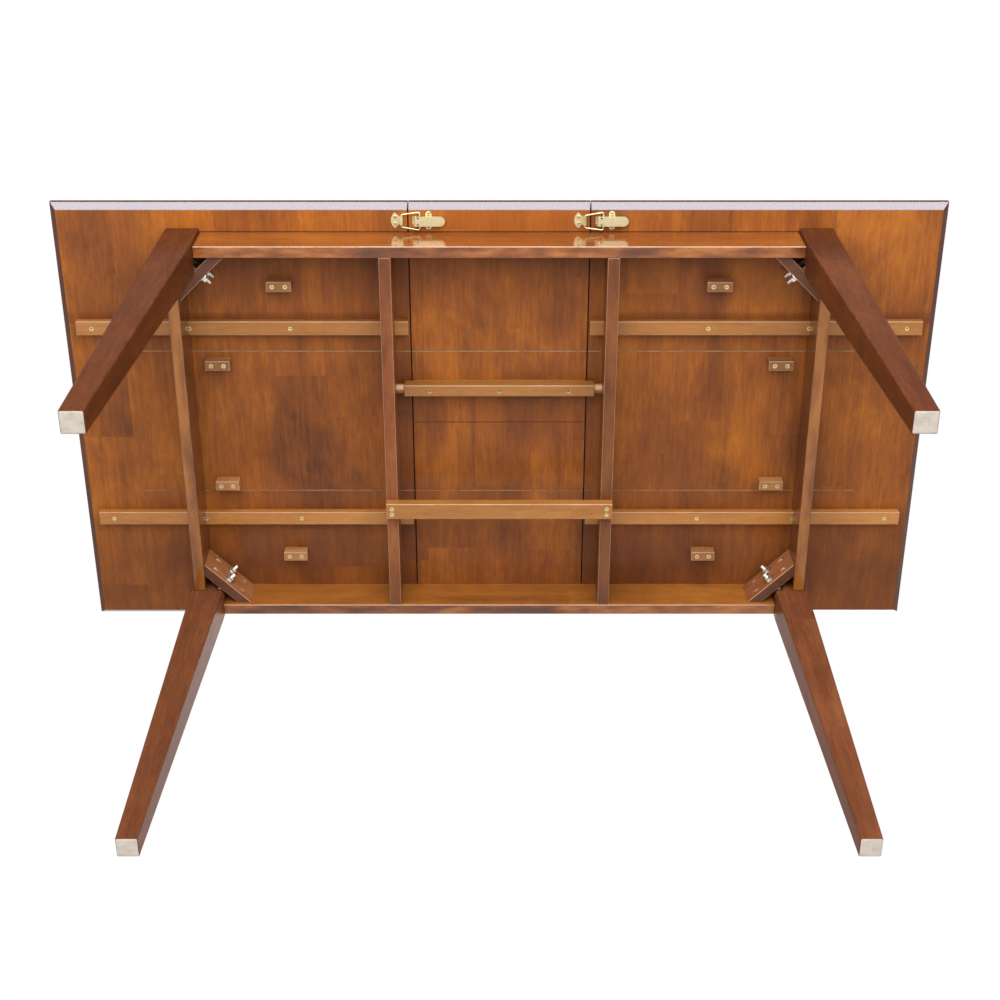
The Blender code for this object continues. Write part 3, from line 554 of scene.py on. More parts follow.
RAIL_TONES = [(0.1, 0.03, 0.014), (0.245, 0.078, 0.026), (0.39, 0.15, 0.055)]
RAIL_END_SHADE_RANGE = (0.23, 0.335, 0.0, 0.45)


def from_middle(tree, axis):
    """How far a point is from the table's middle along one axis."""
    return sums(tree, "ABSOLUTE", apart(tree, table_place(tree))["XYZ".index(axis)])


def rail_end_shade_group():
    """Both ends of a rail, darkened next to the aprons with painted shade."""
    tree, given, result = new_group("rail_end_shade", [], [("End Shade", "Float")])
    feed(tree, result.inputs["End Shade"], remap(tree, from_middle(tree, "Y"), *RAIL_END_SHADE_RANGE))
    return tree


RAIL_END_SHADE = rail_end_shade_group()


def rail_end_shade(tree):
    """The mask of the painted shade at the rails' ends."""
    return placed(tree, RAIL_END_SHADE, {})["End Shade"]


rail_end_shade_colour = patchy((60.0, 12.0, 60.0), [(0.05, 0.017, 0.011), (0.12, 0.042, 0.024)], roughness=0.6)
for side, share in (("left", 0.87), ("right", 0.59)):
    stain = wood(
        f"{side}_rail_stain",
        ALONG_Y,
        paler(RAIL_TONES, share),
        rub=(0.5, 0.3, 0.16),
        clouds=1.7,
        gloss=0.34,
        specular=0.12,
        lacquer=0.12,
        bare=[(rail_end_shade, rail_end_shade_colour, 0.0), bare_and_highlight(lower_rim(0.5))],
    )
    finish_nodes(stain, f"{side}_cross_rail")

# Corner blocks
# Short thick blocks set at 45 degrees across each corner of the frame, with two pocket screws into
# the apron at each end. The grain runs along the block, and the sawn lower side has drawn in stain.

APRON_INNER = (0.5396, 0.3369)
BLOCK_LINE, BLOCK_MIDDLE_Z = 0.7955, 0.7027
POCKET_INSET, POCKET_DEPTH, POCKET_SPACING = 0.015, 0.006, 0.032
POCKET_SKEW = 2 * (APRON_INNER[0] - POCKET_INSET) - BLOCK_LINE - (APRON_INNER[0] - APRON_INNER[1])
MOUTH_SHIFT, MOUTH_LENGTH, MOUTH_HEIGHT, MOUTH_EDGES = 0.004, 0.0095, 0.003, (1.2, 0.7, 0.0, 0.7)


def pocket_mouth_group():
    """The long mouths of the pocket holes, where the slanted drill cut into bare wood."""
    tree, given, result = new_group("pocket_mouths", [], [("Bare And Highlight", "Float")])
    skew = sums(tree, "SUBTRACT", from_middle(tree, "X"), from_middle(tree, "Y"))
    skew = sums(tree, "ABSOLUTE", sums(tree, "SUBTRACT", skew, APRON_INNER[0] - APRON_INNER[1]))
    along = sums(tree, "DIVIDE", sums(tree, "SUBTRACT", skew, POCKET_SKEW - MOUTH_SHIFT), MOUTH_LENGTH)
    level = sums(tree, "ABSOLUTE", sums(tree, "SUBTRACT", from_middle(tree, "Z"), BLOCK_MIDDLE_Z))
    rise = sums(tree, "DIVIDE", sums(tree, "SUBTRACT", level, POCKET_SPACING / 2), MOUTH_HEIGHT)
    reach = sums(tree, "ADD", product(tree, along, along), product(tree, rise, rise))
    feed(tree, result.inputs["Bare And Highlight"], remap(tree, reach, *MOUTH_EDGES))
    return tree


POCKET_MOUTHS = pocket_mouth_group()


def pocket_mouths(tree):
    """The mask of the pocket holes' mouths."""
    return placed(tree, POCKET_MOUTHS, {})["Bare And Highlight"]


BLOCK_TONES = [(0.12, 0.04, 0.017), (0.26, 0.09, 0.03), (0.38, 0.165, 0.07)]
sawn_side = patchy((60.0, 60.0, 60.0), [(0.07, 0.026, 0.014), (0.16, 0.06, 0.03)], roughness=0.6)
SAWN_RIM = bare_and_highlight(lower_rim(0.8))
for name, turn, corners in (
    ("block_stain_one_way", pi / 4, ("front_left", "rear_right")),
    ("block_stain_other_way", -pi / 4, ("front_right", "rear_left")),
):
    stain = wood(
        name,
        ALONG_X,
        BLOCK_TONES,
        rub=(0.58, 0.38, 0.22),
        gloss=0.4,
        lacquer=0.2,
        turn=turn,
        bare=[(underside, sawn_side, WORN_ROUGHNESS), bare_and_highlight(pocket_mouths), SAWN_RIM],
    )
    finish_nodes(stain, *[f"corner_block_{corner}" for corner in corners])

TARNISH_SPREAD, TARNISH_EDGES = (160.0, 160.0, 160.0), (0.45, 0.8)
SCRATCH_SPREAD, SCRATCH_ROUGHNESS, SCRATCH_DEPTH = (240.0, 2600.0, 2600.0), 0.2, 0.00005
HOLLOW_REACH, HOLLOW_EDGES, HOLLOW_SHADE_COLOUR = 0.003, (0.85, 0.5), (0.04, 0.025, 0.012, 1)
METAL_ARRIS = 0.0005


def tarnish_group():
    """Metal with a little tarnish in patches, and fine scratches."""
    tree, given, result = new_group(
        "tarnish",
        [("Clean", "Color"), ("Dull", "Color")],
        [("Colour", "Color"), ("Scratches", "Float")],
    )
    place = table_place(tree)
    dulled = remap(tree, noise(tree, place, TARNISH_SPREAD, detail=4.0, roughness=0.6), *TARNISH_EDGES)
    feed(tree, result.inputs["Colour"], mix(tree, dulled, given.outputs["Clean"], given.outputs["Dull"]))
    feed(tree, result.inputs["Scratches"], noise(tree, place, SCRATCH_SPREAD, detail=2.0))
    return tree


def hollow_shade_group():
    """Painted shade in the hollows of a piece, up to a given amount."""
    tree, given, result = new_group("hollow_shade", [("Amount", "Float")], [("Hollow Shade", "Float")])
    hollow = add(tree, "AmbientOcclusion", samples=8, only_local=True)
    feed(tree, hollow.inputs["Distance"], HOLLOW_REACH)
    hollow_shade = remap(tree, hollow.outputs["AO"], *HOLLOW_EDGES, 0.0, given.outputs["Amount"])
    feed(tree, result.inputs["Hollow Shade"], hollow_shade)
    return tree


TARNISH = tarnish_group()
HOLLOW_SHADE = hollow_shade_group()


def metal(name, colour, dark, roughness, scratch, hollow_shade=0.0):
    """Plated or plain metal: a little tarnish in patches, fine scratches, and painted shade in its hollows.
    """
    made, tree, shader = shade(name, metallic=1.0, roughness=roughness)
    tarnish_and_shade, lines = placed(tree, TARNISH, {"Clean": (*colour, 1), "Dull": (*dark, 1)})
    if hollow_shade:
        deep = placed(tree, HOLLOW_SHADE, {"Amount": hollow_shade})["Hollow Shade"]
        tarnish_and_shade = mix(tree, deep, tarnish_and_shade, HOLLOW_SHADE_COLOUR)
    feed(tree, shader.inputs["Base Color"], tarnish_and_shade)
    rough = sums(tree, "MULTIPLY_ADD", lines, SCRATCH_ROUGHNESS, roughness - SCRATCH_ROUGHNESS / 2)
    feed(tree, shader.inputs["Roughness"], rough)
    relieve(tree, shader, lines, scratch, SCRATCH_DEPTH, METAL_ARRIS)
    return made


def close_rings(shape, rings):
    """Joins rings of points into one surface, closed at both ends."""
    count = len(rings[0])
    for low, high in zip(rings, rings[1:]):
        for side in range(count):
            after = (side + 1) % count
            shape.faces.new((low[side], low[after], high[after], high[side]))
    shape.faces.new(reversed(rings[0]))
    shape.faces.new(rings[-1])


def turn_solid(shape, profile, sides):
    """Adds a turned or many sided solid from (radius, height) points."""
    turns = [2 * pi * side / sides for side in range(sides)]
    rings = []
    for radius, height in profile:
        rings.append([shape.verts.new((radius * cos(turn), radius * sin(turn), height)) for turn in turns])
    close_rings(shape, rings)
    return shape


def mesh_of(name, shape, material, smooth_angle=35.0):
    """A mesh from a shape, smooth but for its sharp edges."""
    mesh = bpy.data.meshes.new(name)
    bmesh.ops.recalc_face_normals(shape, faces=shape.faces)
    shape.to_mesh(mesh)
    shape.free()
    mesh.materials.append(material)
    mesh.shade_smooth()
    mesh.set_sharp_from_angle(angle=radians(smooth_angle))
    return mesh


def show(name, data):
    """A new object in the scene."""
    made = bpy.data.objects.new(name, data)
    bpy.context.scene.collection.objects.link(made)
    return made


CROSS_LENGTH, CROSS_WIDTH, CROSS_DEPTH, CROSS_TAPER = 0.0042, 0.00105, 0.0014, 0.45
# One bar of the cross is a little narrower and deeper, so that no two cuts lie in one plane
CROSS_STEP = 0.02
HEAD_SIDES = 20


def cross_headed(name, profile, material):
    """A screw head with a tapered cross recess, its head towards +Z and its face at height 0."""
    head = show(name, mesh_of(name, turn_solid(bmesh.new(), profile, HEAD_SIDES), material))
    top = max(height for radius, height in profile)
    cutter_shape = bmesh.new()
    for turn, step in ((0, CROSS_STEP), (pi / 2, 0.0)):
        bar = bmesh.ops.create_cube(cutter_shape, size=1)["verts"]
        for vertex in bar:
            above = vertex.co.z > 0
            vertex.co.x *= CROSS_LENGTH * (1.0 if above else CROSS_TAPER)
            vertex.co.y *= CROSS_WIDTH * (1 - step)
            vertex.co.z = top + (CROSS_DEPTH if above else -CROSS_DEPTH * (1 + step))
        bmesh.ops.rotate(cutter_shape, cent=(0, 0, 0), matrix=Matrix.Rotation(turn, 3, "Z"), verts=bar)
    cutter = show(name + "_recess", mesh_of(name + "_recess", cutter_shape, material))
    cut = head.modifiers.new("recess", "BOOLEAN")
    cut.operation = "DIFFERENCE"
    cut.use_self = True
    cut.object = cutter
    made = bpy.data.meshes.new_from_object(head.evaluated_get(bpy.context.evaluated_depsgraph_get()))
    made.name = name
    bpy.data.objects.remove(head)
    bpy.data.objects.remove(cutter)
    return made


SCREW_TURN = 2.4


def standing(way):
    """The turn that stands a piece made along +Z up along another way."""
    return Vector(way).to_track_quat("Z", "Y").to_matrix().to_4x4()


def set_screws(name, master, places, body):
    """Copies of a screw head as one piece. Each place is a point on the wood and the way out of it."""
    shape = bmesh.new()
    for number, (point, way) in enumerate(places):
        start = len(shape.verts)
        shape.from_mesh(master)
        shape.verts.ensure_lookup_table()
        place = Matrix.Translation(point) @ standing(way) @ Matrix.Rotation(SCREW_TURN * number, 4, "Z")
        bmesh.ops.transform(shape, matrix=place, verts=shape.verts[start:])
    mesh = bpy.data.meshes.new(name)
    shape.to_mesh(mesh)
    shape.free()
    mesh.materials.append(master.materials[0])
    piece = show(name, mesh)
    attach(piece, body)


screw_plate = metal(
    "screw_plate",
    (0.78, 0.6, 0.3),
    (0.45, 0.32, 0.15),
    roughness=0.36,
    scratch=0.1,
    hollow_shade=0.95,
)
PAN_PROFILE = [(0.0014, -0.001), (0.0034, -0.0001), (0.0034, 0.0005), (0.0028, 0.0014), (0.0016, 0.0018)]
pan_head = cross_headed("pan_head", PAN_PROFILE, screw_plate)
CORNERS = {"front_left": (-1, -1), "front_right": (1, -1), "rear_left": (-1, 1), "rear_right": (1, 1)}
pockets = []
for sign_x, sign_y in CORNERS.values():
    x, y = APRON_INNER[0] - POCKET_INSET, APRON_INNER[1] - POCKET_INSET
    for place, way in (
        ((sign_x * (x + POCKET_DEPTH), sign_y * (BLOCK_LINE - x)), (-sign_x, 0, 0)),
        ((sign_x * (BLOCK_LINE - y), sign_y * (y + POCKET_DEPTH)), (0, -sign_y, 0)),
    ):
        for level in (-1, 1):
            pockets.append(((*place, BLOCK_MIDDLE_Z + level * POCKET_SPACING / 2), way))
set_screws("corner_block_screws", pan_head, pockets, "frame")

# Hanger bolts
# Two zinc plated bolts in each corner draw the leg against the corner block. Each is screwed into
# the leg, passes through the block, and carries a washer and a hexagon nut.

BOLT_RADIUS, BOLT_START, BOLT_TAIL = 0.0039, -0.049, 0.017
THREAD_PITCH, THREAD_DEPTH, THREAD_SIDES = 0.0014, 0.0005, 20


def threaded_rod(start, end):
    """A helical thread whose rows run on from turn to turn, with both ends filled."""
    shape = bmesh.new()
    rows = int((end - start) / (THREAD_PITCH / 2))
    grid = []
    for row in range(rows):
        radius = BOLT_RADIUS - (row % 2) * THREAD_DEPTH
        low = start + row * THREAD_PITCH / 2
        ring = []
        for side in range(THREAD_SIDES):
            turn = 2 * pi * side / THREAD_SIDES
            rise = min(max(low + THREAD_PITCH * side / THREAD_SIDES, start), end)
            ring.append(shape.verts.new((radius * cos(turn), radius * sin(turn), rise)))
        grid.append(ring)
    for row in range(rows - 1):
        for side in range(THREAD_SIDES):
            last = side == THREAD_SIDES - 1
            if last and row + 3 >= rows:
                continue
            after = 0 if last else side + 1
            up = 2 if last else 0
            upper, lower = grid[row + 1 + up][after], grid[row + up][after]
            shape.faces.new((grid[row][side], lower, upper, grid[row + 1][side]))
    bmesh.ops.holes_fill(shape, edges=shape.edges)
    return shape


WASHER_RADIUS, WASHER_FACE, WASHER_TOP, WASHER_SIDES = 0.0095, 0.0088, 0.0019, 28
WASHER_PROFILE = [
    (WASHER_FACE, 0.0003),
    (WASHER_RADIUS, 0.0005),
    (WASHER_RADIUS, 0.0017),
    (WASHER_FACE, WASHER_TOP),
]
NUT_RADIUS, NUT_TOP, NUT_CHAMFER, NUT_SIDES = 0.00733, 0.0085, 0.0007, 6
NUT_LOWER_FACE, NUT_UPPER_FACE = 0.93, 0.9
NUT_PROFILE = [
    (NUT_RADIUS * NUT_LOWER_FACE, WASHER_TOP),
    (NUT_RADIUS, WASHER_TOP + NUT_CHAMFER),
    (NUT_RADIUS, NUT_TOP - NUT_CHAMFER),
    (NUT_RADIUS * NUT_UPPER_FACE, NUT_TOP),
]
zinc = metal("zinc_plate", (0.78, 0.745, 0.66), (0.54, 0.5, 0.42), roughness=0.3, scratch=0.08)
bolt_shape = threaded_rod(BOLT_START, BOLT_TAIL)
turn_solid(bolt_shape, NUT_PROFILE, NUT_SIDES)
bolt_shape.from_mesh(mesh_of("washer", turn_solid(bmesh.new(), WASHER_PROFILE, WASHER_SIDES), zinc))
bolt_mesh = mesh_of("hanger_bolt", bolt_shape, zinc, smooth_angle=40.0)
BOLT_OFFSET, BOLT_SPACING = (APRON_INNER[0] - APRON_INNER[1]) / 2, 0.03
for corner, (sign_x, sign_y) in CORNERS.items():
    face = Vector((sign_x * (BLOCK_LINE / 2 + BOLT_OFFSET), sign_y * (BLOCK_LINE / 2 - BOLT_OFFSET), 0))
    for level, way in (("upper", 1), ("lower", -1)):
        face.z = BLOCK_MIDDLE_Z + way * BOLT_SPACING / 2
        bolt = show(f"threaded_bolt_{corner}_{level}", bolt_mesh)
        bolt.matrix_world = Matrix.Translation(face) @ standing((-sign_x, -sign_y, 0))
        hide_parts(f"hanger_bolt_{corner}_{level}")
        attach(bolt, "frame")

# Leaf support bar
# A plain bar under the two cross rails, on which the folded leaf lies when it is stored. It is held
# by two countersunk screws into each rail.

BAR_TONES = [(0.2, 0.075, 0.018), (0.38, 0.15, 0.032), (0.52, 0.24, 0.07)]
BAR_ARRIS_HIGHLIGHT = bare_and_highlight(arris_highlight(0.0017))


def bar_wood(name, share):
    """Plain bar wood from one board, painted paler or darker by a share, with a painted highlight on its
    front arris.
    """
    return wood(
        name,
        ALONG_X,
        paler(BAR_TONES, share),
        rub=(0.75, 0.54, 0.32),
        gloss=0.34,
        specular=0.35,
        lacquer=0.1,
        bare=[BAR_ARRIS_HIGHLIGHT],
    )


def under(node):
    """The height of a node's lower face."""
    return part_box(node)[0].z


# The support bar is painted a little darker, as shade.
finish_nodes(bar_wood("support_bar_wood_shaded", 0.9), "leaf_support_bar")
SUNK_PROFILE = [
    (0.0013, -0.0032),
    (0.0036, -0.0007),
    (0.0037, -0.0004),
    (0.0034, -0.0003),
    (0.0018, -0.00025),
]
sunk_head = cross_headed("sunk_head", SUNK_PROFILE, screw_plate)
DOWN = (0, 0, -1)
RAIL_MIDDLE_X, SUPPORT_Y, SUPPORT_SPACING = 0.19125, 0.132, 0.011
holes = []
for x in (-RAIL_MIDDLE_X, RAIL_MIDDLE_X):
    for way in (-1, 1):
        holes.append(((x, SUPPORT_Y + way * SUPPORT_SPACING / 2, under("leaf_support_bar")), DOWN))
set_screws("support_bar_screws", sunk_head, holes, "frame")

# Tops and leaf halves
# Panels glued up from boards that run from front to rear, stained orange brown and lacquered. Their
# lower edges are bevelled, and the shallow saw kerfs across their undersides show bare wood.

KERF_Y, KERF_HALF_WIDTH, KERF_END_X, UNDERSIDE_Z = 0.138, 0.0013, 0.66, 0.741
KERF_SIDE, KERF_MOUTH, KERF_FLOOR = 0.0005, (0.0002, 0.0008), (0.004, 0.003)
SEAM_MIDDLE_X, SEAM_SHADOW_EDGES = 0.1547, (0.0017, 0.0007)
APRON_FACE_Y, APRON_END_X, LEG_END_X = 0.3569, 0.525, 0.55


def away_from(tree, axis, line):
    """How far a point is from a line that the table has on both sides of its middle."""
    return sums(tree, "ABSOLUTE", sums(tree, "SUBTRACT", from_middle(tree, axis), line))


def kerf_mask(tree):
    """The floors of the two saw kerfs, which end short of the panels' ends."""
    beside = remap(tree, away_from(tree, "Y", KERF_Y), KERF_HALF_WIDTH + KERF_SIDE, KERF_HALF_WIDTH)
    height = from_middle(tree, "Z")
    mouth = remap(tree, height, *[UNDERSIDE_Z + rise for rise in KERF_MOUTH])
    floor = remap(tree, height, *[UNDERSIDE_Z + rise for rise in KERF_FLOOR])
    return product(tree, beside, mouth, floor, sums(tree, "LESS_THAN", from_middle(tree, "X"), KERF_END_X))


def seam_shadow_mask(tree):
    """A painted shadow along the gaps between the leaf and the end tops."""
    return remap(tree, away_from(tree, "X", SEAM_MIDDLE_X), *SEAM_SHADOW_EDGES)


SHADOW_LINE_START, SHADOW_LINE_END, SHADOW_LINE_FADE, SHADOW_LINE_SHARE = (-0.0004, 0.0), (0.002, 0.001), 0.02, 0.75


def apron_shadow_line(tree):
    """A painted shadow line under the tops, along the outer face of the long aprons."""
    beside = sums(tree, "SUBTRACT", from_middle(tree, "Y"), APRON_FACE_Y)
    line = product(tree, remap(tree, beside, *SHADOW_LINE_START), remap(tree, beside, *SHADOW_LINE_END))
    along = remap(tree, from_middle(tree, "X"), APRON_END_X, APRON_END_X - SHADOW_LINE_FADE)
    return product(tree, line, along, remap(tree, facing(tree)[2], *LOOKS_DOWN, 0.0, SHADOW_LINE_SHARE))


LIT_STRIP_END, LIT_STRIP_STEP, LIT_STRIP_BEFORE, LIT_STRIP_AFTER = 0.04, 0.002, 0.08, -0.02
LIT_STRIP_LEAF = 0.28


def lit_front_strip(tree):
    """The strip in front of the frame, painted paler for the light that falls on it, most of all on the
    leaf.
    """
    past_legs = sums(tree, "GREATER_THAN", from_middle(tree, "X"), LEG_END_X)
    start = sums(tree, "MULTIPLY_ADD", past_legs, LIT_STRIP_BEFORE, -APRON_FACE_Y)
    end = sums(tree, "MULTIPLY_ADD", past_legs, LIT_STRIP_AFTER, -APRON_FACE_Y - LIT_STRIP_STEP)
    ahead = remap(tree, apart(tree, table_place(tree))[1], start, end)
    on_leaf = sums(tree, "LESS_THAN", from_middle(tree, "X"), SEAM_MIDDLE_X)
    share = sums(tree, "MULTIPLY_ADD", on_leaf, LIT_STRIP_LEAF, LIT_STRIP_END)
    return product(tree, ahead, share, underside(tree))


def front_strip_light(tree):
    """The painted light colour of that strip, the same all along it."""
    return (0.5, 0.138, 0.01, 1)


# From where to where the painted shade gets darker along Y, or along X at the seams, and how dark
SHADE_FRONT, SHADE_RUNNER = (-0.2, -0.26, 0.0, 0.3), (-0.216, -0.204, 0.0, 0.4)
SHADE_REAR, SHADE_SEAM = (0.16, 0.3, 0.0, 0.42), (0.22, 0.18, 0.0, 0.38)
RUNNER_FRONT_Y, SHADE_LEAF_SHARE = -0.19, 0.05


def painted_shade_places(tree):
    """Painted shade under the end tops: behind the apron, in front of the front runner, at the rear and by
    the seam.
    """
    y = apart(tree, table_place(tree))[1]
    middle = from_middle(tree, "X")
    inside = sums(tree, "GREATER_THAN", y, -APRON_FACE_Y)
    inside = product(tree, inside, sums(tree, "LESS_THAN", middle, LEG_END_X))
    shaded = remap(tree, y, *SHADE_REAR)
    for place in (
        product(tree, remap(tree, y, *SHADE_FRONT), inside),
        product(tree, remap(tree, y, *SHADE_RUNNER), sums(tree, "LESS_THAN", y, RUNNER_FRONT_Y)),
        product(tree, remap(tree, middle, *SHADE_SEAM), inside),
    ):
        shaded = sums(tree, "MAXIMUM", shaded, place)
    on_end = sums(tree, "GREATER_THAN", middle, SEAM_MIDDLE_X)
    share = sums(tree, "MULTIPLY_ADD", on_end, 1 - SHADE_LEAF_SHARE, SHADE_LEAF_SHARE)
    return product(tree, shaded, share, underside(tree))


EDGE_OFF_LEVEL, EDGE_UPRIGHT, BEVEL_SLOPE, LONG_EDGE = (-0.96, -0.85), (0.5, 0.3), (-0.2, -0.4), (0.3, 0.5)


def edge_mask(tree):
    """The bevels and the square edges all round, by the slope of their faces."""
    upright = facing(tree)[2]
    return product(tree, remap(tree, upright, *EDGE_OFF_LEVEL), remap(tree, upright, *EDGE_UPRIGHT))


LOOKS_UP = (0.5, 0.9)


def upper_side(tree):
    """The faces that look up."""
    return remap(tree, facing(tree)[2], *LOOKS_UP)


BOARD_WIDTH, UPPER_BOARDS, UPPER_CLOUDS = 0.088, 0.18, 0.45
UPPER_TONES = [(0.06, 0.018, 0.009), (0.16, 0.047, 0.016), (0.28, 0.09, 0.028)]


def upper_stain(tree):
    """The stain of the upper side, over the same boards but with fewer clouds than the underside."""
    values = {
        "Along Grain": grain_place(tree, ALONG_Y),
        "Board Width": BOARD_WIDTH,
        "Board Contrast": UPPER_BOARDS,
        "Clouds": UPPER_CLOUDS,
    }
    return ramp(tree, placed(tree, WOOD_GRAIN, values)["Tone"], UPPER_TONES)


BEVEL_LACQUER, UPPER_LACQUER, FLAT_LACQUER = 0.92, 0.22, 0.06


def top_lacquer(tree):
    """Full lacquer on the long bevels, some on the upper side, and little elsewhere and in the joints."""
    upright = facing(tree)[2]
    slope = product(tree, remap(tree, upright, *EDGE_OFF_LEVEL), remap(tree, upright, *BEVEL_SLOPE))
    long_edge = remap(tree, sums(tree, "ABSOLUTE", facing(tree)[1]), *LONG_EDGE)
    coat = sums(tree, "MULTIPLY_ADD", product(tree, slope, long_edge), BEVEL_LACQUER, FLAT_LACQUER)
    coat = sums(tree, "MULTIPLY_ADD", upper_side(tree), UPPER_LACQUER, coat)
    return product(tree, coat, sums(tree, "SUBTRACT", 1.0, seam_shadow_mask(tree)))


bare_wood = patchy((60.0, 20.0, 20.0), [(0.3, 0.13, 0.05), (0.62, 0.4, 0.21)])
painted_shadow_colour = patchy((50.0, 50.0, 50.0), [(0.008, 0.003, 0.002), (0.035, 0.011, 0.005)])
painted_shade_colour = patchy((40.0, 6.0, 6.0), [(0.07, 0.021, 0.011), (0.13, 0.038, 0.015)])
edge_stain = patchy((5.0, 9.0, 9.0), [(0.05, 0.016, 0.01), (0.11, 0.033, 0.014)], detail=2.0)
top_stain = wood(
    "top_stain",
    ALONG_Y,
    [(0.08, 0.027, 0.015), (0.24, 0.072, 0.0165), (0.46, 0.147, 0.019)],
    rub=(0.36, 0.16, 0.07),
    clouds=1.5,
    board=BOARD_WIDTH,
    boards=0.16,
    gloss=0.26,
    specular=0.1,
    lacquer=top_lacquer,
    bare=[
        (upper_side, upper_stain, 0.0),
        (painted_shade_places, painted_shade_colour, 0.0),
        (lit_front_strip, front_strip_light, 0.0),
        (edge_mask, edge_stain, 0.3),
        (kerf_mask, bare_wood, 0.4),
        (apron_shadow_line, painted_shadow_colour, 0.3),
        (seam_shadow_mask, painted_shadow_colour, 0.4),
    ],
)
finish_nodes(top_stain, "left_top", "right_top", "leaf_front_half", "leaf_rear_half")

# Runners
# Two honey coloured hardwood bars under each end top, dovetailed in section, which slide in the
# notches of the apron and the cross rail. Three countersunk screws hold each one.

RUNNER_Y, RUNNER_SCREWS_X = 0.1875, (0.708, 0.538, 0.363)
# The front runners are painted darker for the front apron's shade, and the rear runners paler for the light
# on them.
RUNNER_WOOD = {"front": bar_wood("front_runner_wood_shaded", 0.88), "rear": bar_wood("rear_runner_wood_lit", 1.08)}
for side, sign in (("left", -1), ("right", 1)):
    holes = []
    for place, way in (("front", -1), ("rear", 1)):
        node = f"{side}_runner_{place}"
        finish_nodes(RUNNER_WOOD[place], node)
        holes += [((sign * x, way * RUNNER_Y, under(node)), DOWN) for x in RUNNER_SCREWS_X]
    set_screws(f"{side}_runner_screws", sunk_head, holes, f"{side}_end")

# Stops
# Small blocks of pale wood under each end top that meet the apron when the top is drawn out and the
# cross rail when it is pushed in. Two countersunk screws hold each, and its arrises are left bare.

STOP_TONES = [(0.15, 0.058, 0.02), (0.3, 0.132, 0.05), (0.45, 0.235, 0.1)]
STOP_SCREW_SHIFT = 0.011


def stop_wood(name, share):
    """Pale wood, painted paler or darker by a share, with its lower arrises bare."""
    tones = paler(STOP_TONES, share)
    return wood(name, ALONG_X, tones, rub=(0.78, 0.56, 0.34), gloss=0.5, bare=[SAWN_RIM])


# The front stops are painted darker for the front apron's shade, and the rear stops paler for the light on
# them.
STOP_WOOD = {"front": stop_wood("front_stop_wood_shaded", 0.8), "rear": stop_wood("rear_stop_wood_lit", 1.15)}
for side in ("left", "right"):
    holes = []
    for kind in ("open", "close"):
        for place in ("front", "rear"):
            node = f"{side}_{kind}_stop_{place}"
            finish_nodes(STOP_WOOD[place], node)
            low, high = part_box(node)
            middle = (low + high) / 2
            for shift in (-STOP_SCREW_SHIFT, STOP_SCREW_SHIFT):
                holes.append(((middle.x + shift, middle.y, low.z), DOWN))
    set_screws(f"{side}_stop_screws", sunk_head, holes, f"{side}_end")

# Pivot bar
# The bar screwed under the front half of the leaf, with three dull screws. Its notched ends are
# turned to round tenons, which turn in the cross rails when the folded leaf swings into its well.

# The pivot bar is painted darker for the shade it lies in.
finish_nodes(bar_wood("pivot_bar_wood_shaded", 0.76), "pivot_bar")
PIVOT_Y, PIVOT_SCREWS_X = -0.0735, (-0.122, 0.0, 0.122)
dull_plate = metal(
    "dull_screw_plate",
    (0.42, 0.28, 0.11),
    (0.26, 0.17, 0.07),
    roughness=0.42,
    scratch=0.1,
    hollow_shade=0.95,
)
dull_head = cross_headed("dull_head", SUNK_PROFILE, dull_plate)
holes = [((x, PIVOT_Y, under("pivot_bar")), DOWN) for x in PIVOT_SCREWS_X]
set_screws("pivot_bar_screws", dull_head, holes, "leaf_front")

# Concealed hinges
# Brass barrels let into the folding edges of the two leaf halves. Only their ends show, when the
# leaf is folded.

brass = metal("bright_brass", (0.73, 0.67, 0.42), (0.66, 0.57, 0.31), roughness=0.46, scratch=0.02)
for half in ("front", "rear"):
    finish_nodes(brass, f"hinge_barrel_{half}_left", f"hinge_barrel_{half}_right")

# Latches
# Two pressed brass draw latches near the front edge. A wire bail joins the strike's hook on one
# side of each seam to the lever on the other, and round headed screws hold the plates.

LATCH_PIECES = ("strike", "bail", "base", "lever", "pin")
LATCH_Y, LATCH_METAL_FACE, SEAM_X = -0.3779, 0.7395, 0.1552
TAB_X, TAB_SHIFT, STRIKE_X, STRIKE_SHIFT = 0.0355, 0.0122, -0.0208, 0.006
for side, seam, base_body, strike_body in (
    ("left", -SEAM_X, "leaf_front", "left_end"),
    ("right", SEAM_X, "right_end", "leaf_front"),
):
    finish_nodes(brass, *[f"{side}_latch_{piece}" for piece in LATCH_PIECES])
    for kind, x, shift, body in (
        ("base", TAB_X, TAB_SHIFT, base_body),
        ("strike", STRIKE_X, STRIKE_SHIFT, strike_body),
    ):
        holes = [((seam + x, LATCH_Y + way * shift, LATCH_METAL_FACE), DOWN) for way in (-1, 1)]
        set_screws(f"{side}_latch_{kind}_screws", pan_head, holes, body)

# Studio
# A plain pale floor that can be seen through from below, soft lamps above and below the table, and
# the camera of the main view under it.

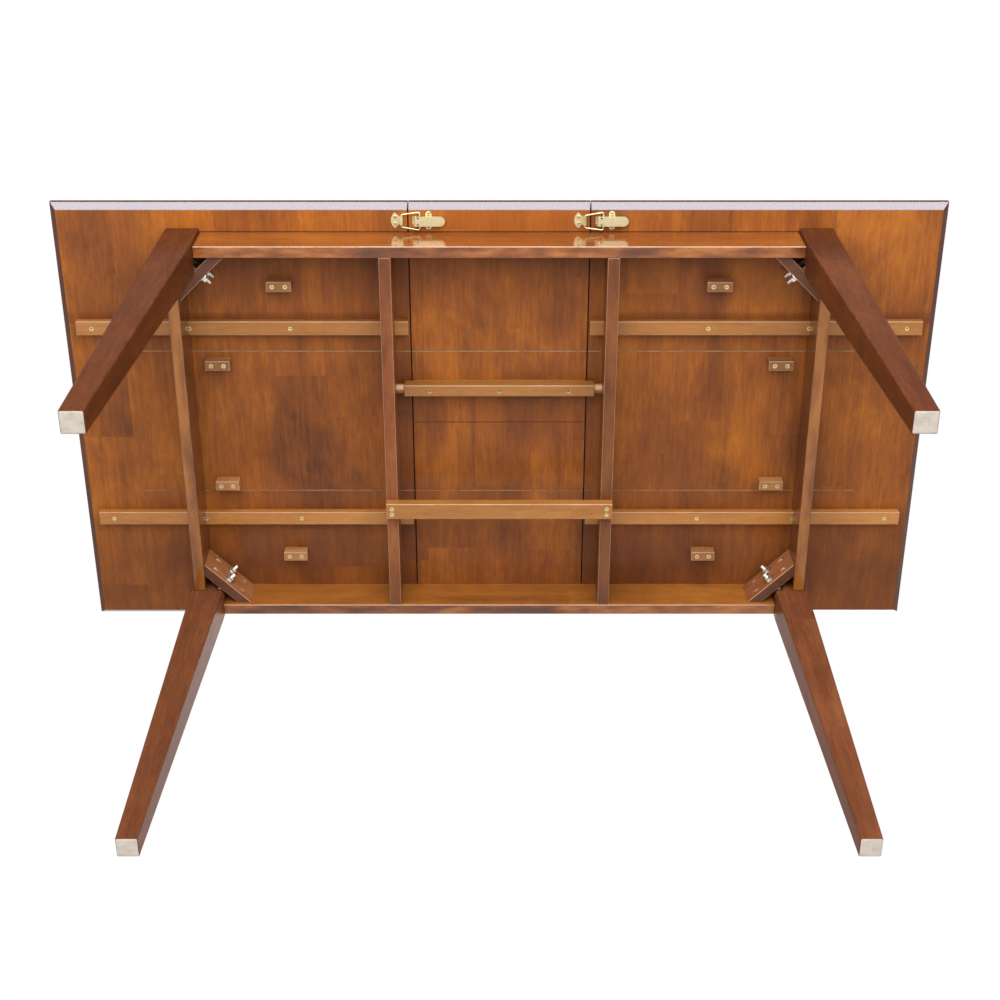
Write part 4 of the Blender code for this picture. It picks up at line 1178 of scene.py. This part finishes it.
FLOOR_HALF, FLOOR_Z, FLOOR_GLOW = 9.0, -0.0004, 0.42
floor_corners = [(x * FLOOR_HALF, y * FLOOR_HALF, FLOOR_Z) for x, y in ((-1, -1), (1, -1), (1, 1), (-1, 1))]
floor_mesh = bpy.data.meshes.new("floor")
floor_mesh.from_pydata(floor_corners, [], [(0, 1, 2, 3)])
floor = show("floor", floor_mesh)
floor_paint, tree, shader = shade("floor_paint", metallic=0.0, roughness=0.7)
shader.inputs["Base Color"].default_value = (0.8, 0.8, 0.8, 1)
shader.inputs["Emission Color"].default_value = (1, 1, 1, 1)
seen = add(tree, "LightPath").outputs["Is Camera Ray"]
feed(tree, shader.inputs["Emission Strength"], product(tree, seen, FLOOR_GLOW))
sides = add(tree, "MixShader")
feed(tree, sides.inputs[0], add(tree, "NewGeometry").outputs["Backfacing"])
feed(tree, sides.inputs[1], shader.outputs[0])
feed(tree, sides.inputs[2], add(tree, "BsdfTransparent").outputs[0])
feed(tree, tree.nodes["Material Output"].inputs["Surface"], sides.outputs[0])
floor_mesh.materials.append(floor_paint)
floor.visible_diffuse = False
floor.visible_glossy = False
floor.visible_shadow = False

AMBIENT = 0.75
world = bpy.data.worlds.new("studio")
bpy.context.scene.world = world
world.use_nodes = True
tree = world.node_tree
rays = add(tree, "LightPath").outputs
mirrored = sums(tree, "MAXIMUM", rays["Is Glossy Ray"], rays["Is Transmission Ray"])
seen = sums(tree, "MAXIMUM", rays["Is Camera Ray"], mirrored)
back = tree.nodes["Background"]
back.inputs["Color"].default_value = (1, 1, 1, 1)
feed(tree, back.inputs["Strength"], sums(tree, "MULTIPLY_ADD", seen, 1 - AMBIENT, AMBIENT))


def lamp(name, place, aim, width, depth, watts, colour=(1.0, 1.0, 1.0)):
    """A soft lamp that the camera doesn't see."""
    light = bpy.data.lights.new(name, "AREA")
    light.shape = "RECTANGLE"
    light.size, light.size_y = width, depth
    light.energy = watts
    light.color = colour
    made = show(name, light)
    made.location = place
    made.rotation_euler = (Vector(aim) - Vector(place)).to_track_quat("-Z", "Y").to_euler()
    made.visible_camera = False


DAYLIGHT = (0.8, 0.87, 1.0)
lamp(
    "front_lamp",
    place=(0, -6.0, -0.257),
    aim=(0, -0.4, 0.747),
    width=10.0,
    depth=0.34,
    watts=174,
    colour=DAYLIGHT,
)
lamp("under_lamp", place=(0.0, -1.5, -0.5), aim=(0, -0.1, 0.72), width=2.8, depth=1.5, watts=53)
lamp("top_lamp", place=(1.4, 1.6, 2.8), aim=(0, 0, 0.7), width=2.5, depth=2.5, watts=60)

CAMERA_PLACE, CAMERA_TILT = (0.0013, -1.2269, -1.870), 153.8
camera_data = bpy.data.cameras.new("main_camera")
camera_data.sensor_width = 36.0
camera_data.lens = 57.78
camera_data.shift_y = -0.049
camera = show("main_camera", camera_data)
camera.location = CAMERA_PLACE
camera.rotation_euler = (radians(CAMERA_TILT), 0, 0)
bpy.context.scene.camera = camera
bpy.context.scene.view_settings.view_transform = "Standard"
